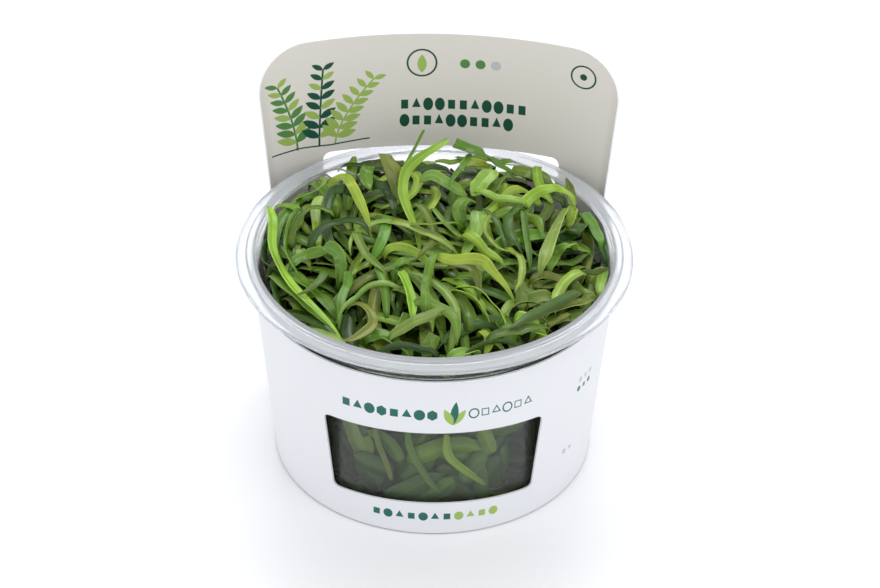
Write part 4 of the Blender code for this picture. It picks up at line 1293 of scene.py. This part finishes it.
cover_bm = leaf_mesh()
for path in ROOTLETS:
    line = [seen_point(*place) for place in path]
    rows = ribbon_rows(line, ROOTLET_WIDE, 0, True, BLADE_ROWS)
    add_blade(cover_bm, rows, ROOTLET_TINT)
for (across, along), top in layers.tops.items():
    spot = np.array([[across * LAYER_CELL, along * LAYER_CELL]])
    heap_pile.lay(spot, np.array([top]))
cover_ceiling = full_height + UPPER_ROOM + COVER_ROOM
lay_many(cover_bm, heap_pile, COVER_COUNT, COVER_SPREAD, SLENDER_LEAF, cover_ceiling)
finish_leaves("cover_blades", cover_bm)


# Against the cup's wall the packing presses blades flat, and some of them show through the window. Their tint
# is
# darkened as painted shade: a little for those in the window, and much more for those behind the card, which
# leaves the window's sides dark. They stand up to just under the flange.

WALL_MAP_RADIUS = 42.0
WALL_COUNT = 240
SHOWN_COUNT = 190
# How far the wall blades' tint is darkened as painted shade: in the window, and behind the card.
SHOWN_PAINTED_SHADE = 0.72
HIDDEN_PAINTED_SHADE = 0.2
WALL_LOW = 2.6
WALL_HIGH = 56.0
WALL_GAP = 0.5
WALL_SPOTS = 10
WALL_MIDDLES = (5, 52)
WINDOW_LEAF_REACH = 0.7
WINDOW_SPAN = (math.radians(-35.8) * WALL_MAP_RADIUS, math.radians(37.5) * WALL_MAP_RADIUS)
WALL_TONES = {"lime": 1, "green": 7, "dark": 4, "olive": 1}
WALL_LEAF = {
    "length": (10, 24), "width": (3.5, 7.5), "sway": 0.8, "roll": 0.12, "arch": 0.4, "stiff": (0.005, 0.02)}

wall_bm = leaf_mesh()
wall_pile = Pile(WALL_MAP_RADIUS * math.pi, 0, 60, lambda x, y: x * 0)
for _, _, path in WINDOW_LEAVES.values():
    for azimuth, height in path:
        spot = np.array([[math.radians(azimuth) * WALL_MAP_RADIUS, height]])
        wall_pile.lay(spot, np.array([WINDOW_LEAF_REACH]))


def wall_space(x, y, height):
    """A point of the wall's leaves: depth counts inwards from the wall."""
    return wall_point(x / WALL_MAP_RADIUS, y, WALL_GAP + height)


for shown, most, painted_shade in ((True, SHOWN_COUNT, SHOWN_PAINTED_SHADE), (False, WALL_COUNT, HIDDEN_PAINTED_SHADE)):
    half_map = WINDOW_SPAN[1] if shown else WALL_MAP_RADIUS * math.pi
    laid = 0
    for _ in range(most * LEAF_TRIES):
        if laid == most:
            break
        spots = np.stack([
            chance.uniform(-half_map, half_map, WALL_SPOTS), chance.uniform(*WALL_MIDDLES, WALL_SPOTS)], 1)
        places, heights = chance_leaf(wall_pile, spots[np.argmin(wall_pile.reach(spots))], WALL_LEAF)
        behind = (places[..., 0] > WINDOW_SPAN[0]) & (places[..., 0] < WINDOW_SPAN[1])
        crosses = not behind.all() if shown else behind.any()
        if crosses or places[..., 1].min() < WALL_LOW or places[..., 1].max() > WALL_HIGH:
            continue
        wall_pile.lay(places, heights + BLADE_THICK / 2)
        # Painted shade: the tint is darkened, much more behind the card than in the window.
        tint = pick_tint(chance, WALL_TONES) * painted_shade
        add_blade(wall_bm, small_blade(places, heights, wall_space, chance.uniform(-0.1, 0.15)), tint)
        laid += 1
finish_leaves("wall_blades", wall_bm)


# On the cup's floor lie the lowest blades, flat and crossing one another, in the dark under the heap; their
# tint is darkened a little as painted shade. They close off what would be seen of the floor through the
# window.

FLOOR_COUNT = 110
FLOOR_TONES = {"lime": 1, "green": 5, "dark": 4, "olive": 2}
FLOOR_PAINTED_SHADE = 0.8
FLOOR_GAP = 0.4
FLOOR_REACH = 37.5
FLOOR_SPREAD = 32
FLOOR_INWARD = 0.02
FLOOR_LEAF = {
    "length": (14, 26), "width": (2.2, 4.4), "sway": 0.8, "roll": 0.25, "arch": 0.8, "stiff": (0.01, 0.03)}


def floor_space(x, y, height):
    """A point of the floor's leaves, this high over the cup's floor."""
    return Vector((x, y, CUP_FLOOR + FLOOR_GAP + height))


floor_bm = leaf_mesh()
floor_pile = Pile(42, -42, 42, lambda x, y: x * 0)
for _ in range(FLOOR_COUNT):
    spots = chance.uniform(-FLOOR_SPREAD, FLOOR_SPREAD, (8, 2))
    outward = np.hypot(spots[:, 0], spots[:, 1])
    start = spots[np.argmin(floor_pile.reach(spots) + FLOOR_INWARD * outward)]
    places, heights = chance_leaf(floor_pile, start, FLOOR_LEAF)
    if np.hypot(places[..., 0], places[..., 1]).max() > FLOOR_REACH:
        continue
    floor_pile.lay(places, heights + BLADE_THICK / 2)
    # Painted shade: the floor blades' tint is darkened a little.
    tint = pick_tint(chance, FLOOR_TONES) * FLOOR_PAINTED_SHADE
    add_blade(floor_bm, small_blade(places, heights, floor_space, 0.1), tint)
finish_leaves("floor_blades", floor_bm)


# The cup stands on a seamless white sweep. A large soft box behind it and a smaller one to the right light it
# from above, and the white room does the rest.

sweep_bm = bmesh.new()
bmesh.ops.create_grid(sweep_bm, x_segments=1, y_segments=1, size=4000)
sweep_look, sweep_tree, sweep_shader = material("white_sweep")
fill_inputs(sweep_tree, sweep_shader, {"Base Color": (0.9, 0.9, 0.9, 1), "Roughness": 0.7})
sweep = place_object("sweep", sweep_bm, [sweep_look])


def soft_box(name, place, size, power):
    """A square white light at this place in metres, aimed at the cup."""
    data = bpy.data.lights.new(name, "AREA")
    data.shape = "SQUARE"
    data.size = size
    data.energy = power
    made = bpy.data.objects.new(name, data)
    made.location = place
    made.rotation_euler = (Vector((0, 0, 0.05)) - Vector(place)).to_track_quat("-Z", "Y").to_euler()
    bpy.context.scene.collection.objects.link(made)


soft_box("box_behind", (0.0, 0.65, 1.05), 0.6, 4.3)
soft_box("box_right", (0.35, -0.4, 1.1), 0.4, 1.4)
world = bpy.data.worlds.new("studio")
world.use_nodes = True
room = world.node_tree.nodes["Background"]
fill_inputs(world.node_tree, room, {"Color": (0.96, 0.97, 1, 1), "Strength": 1.04})
bpy.context.scene.world = world
bpy.context.scene.view_settings.view_transform = "Standard"
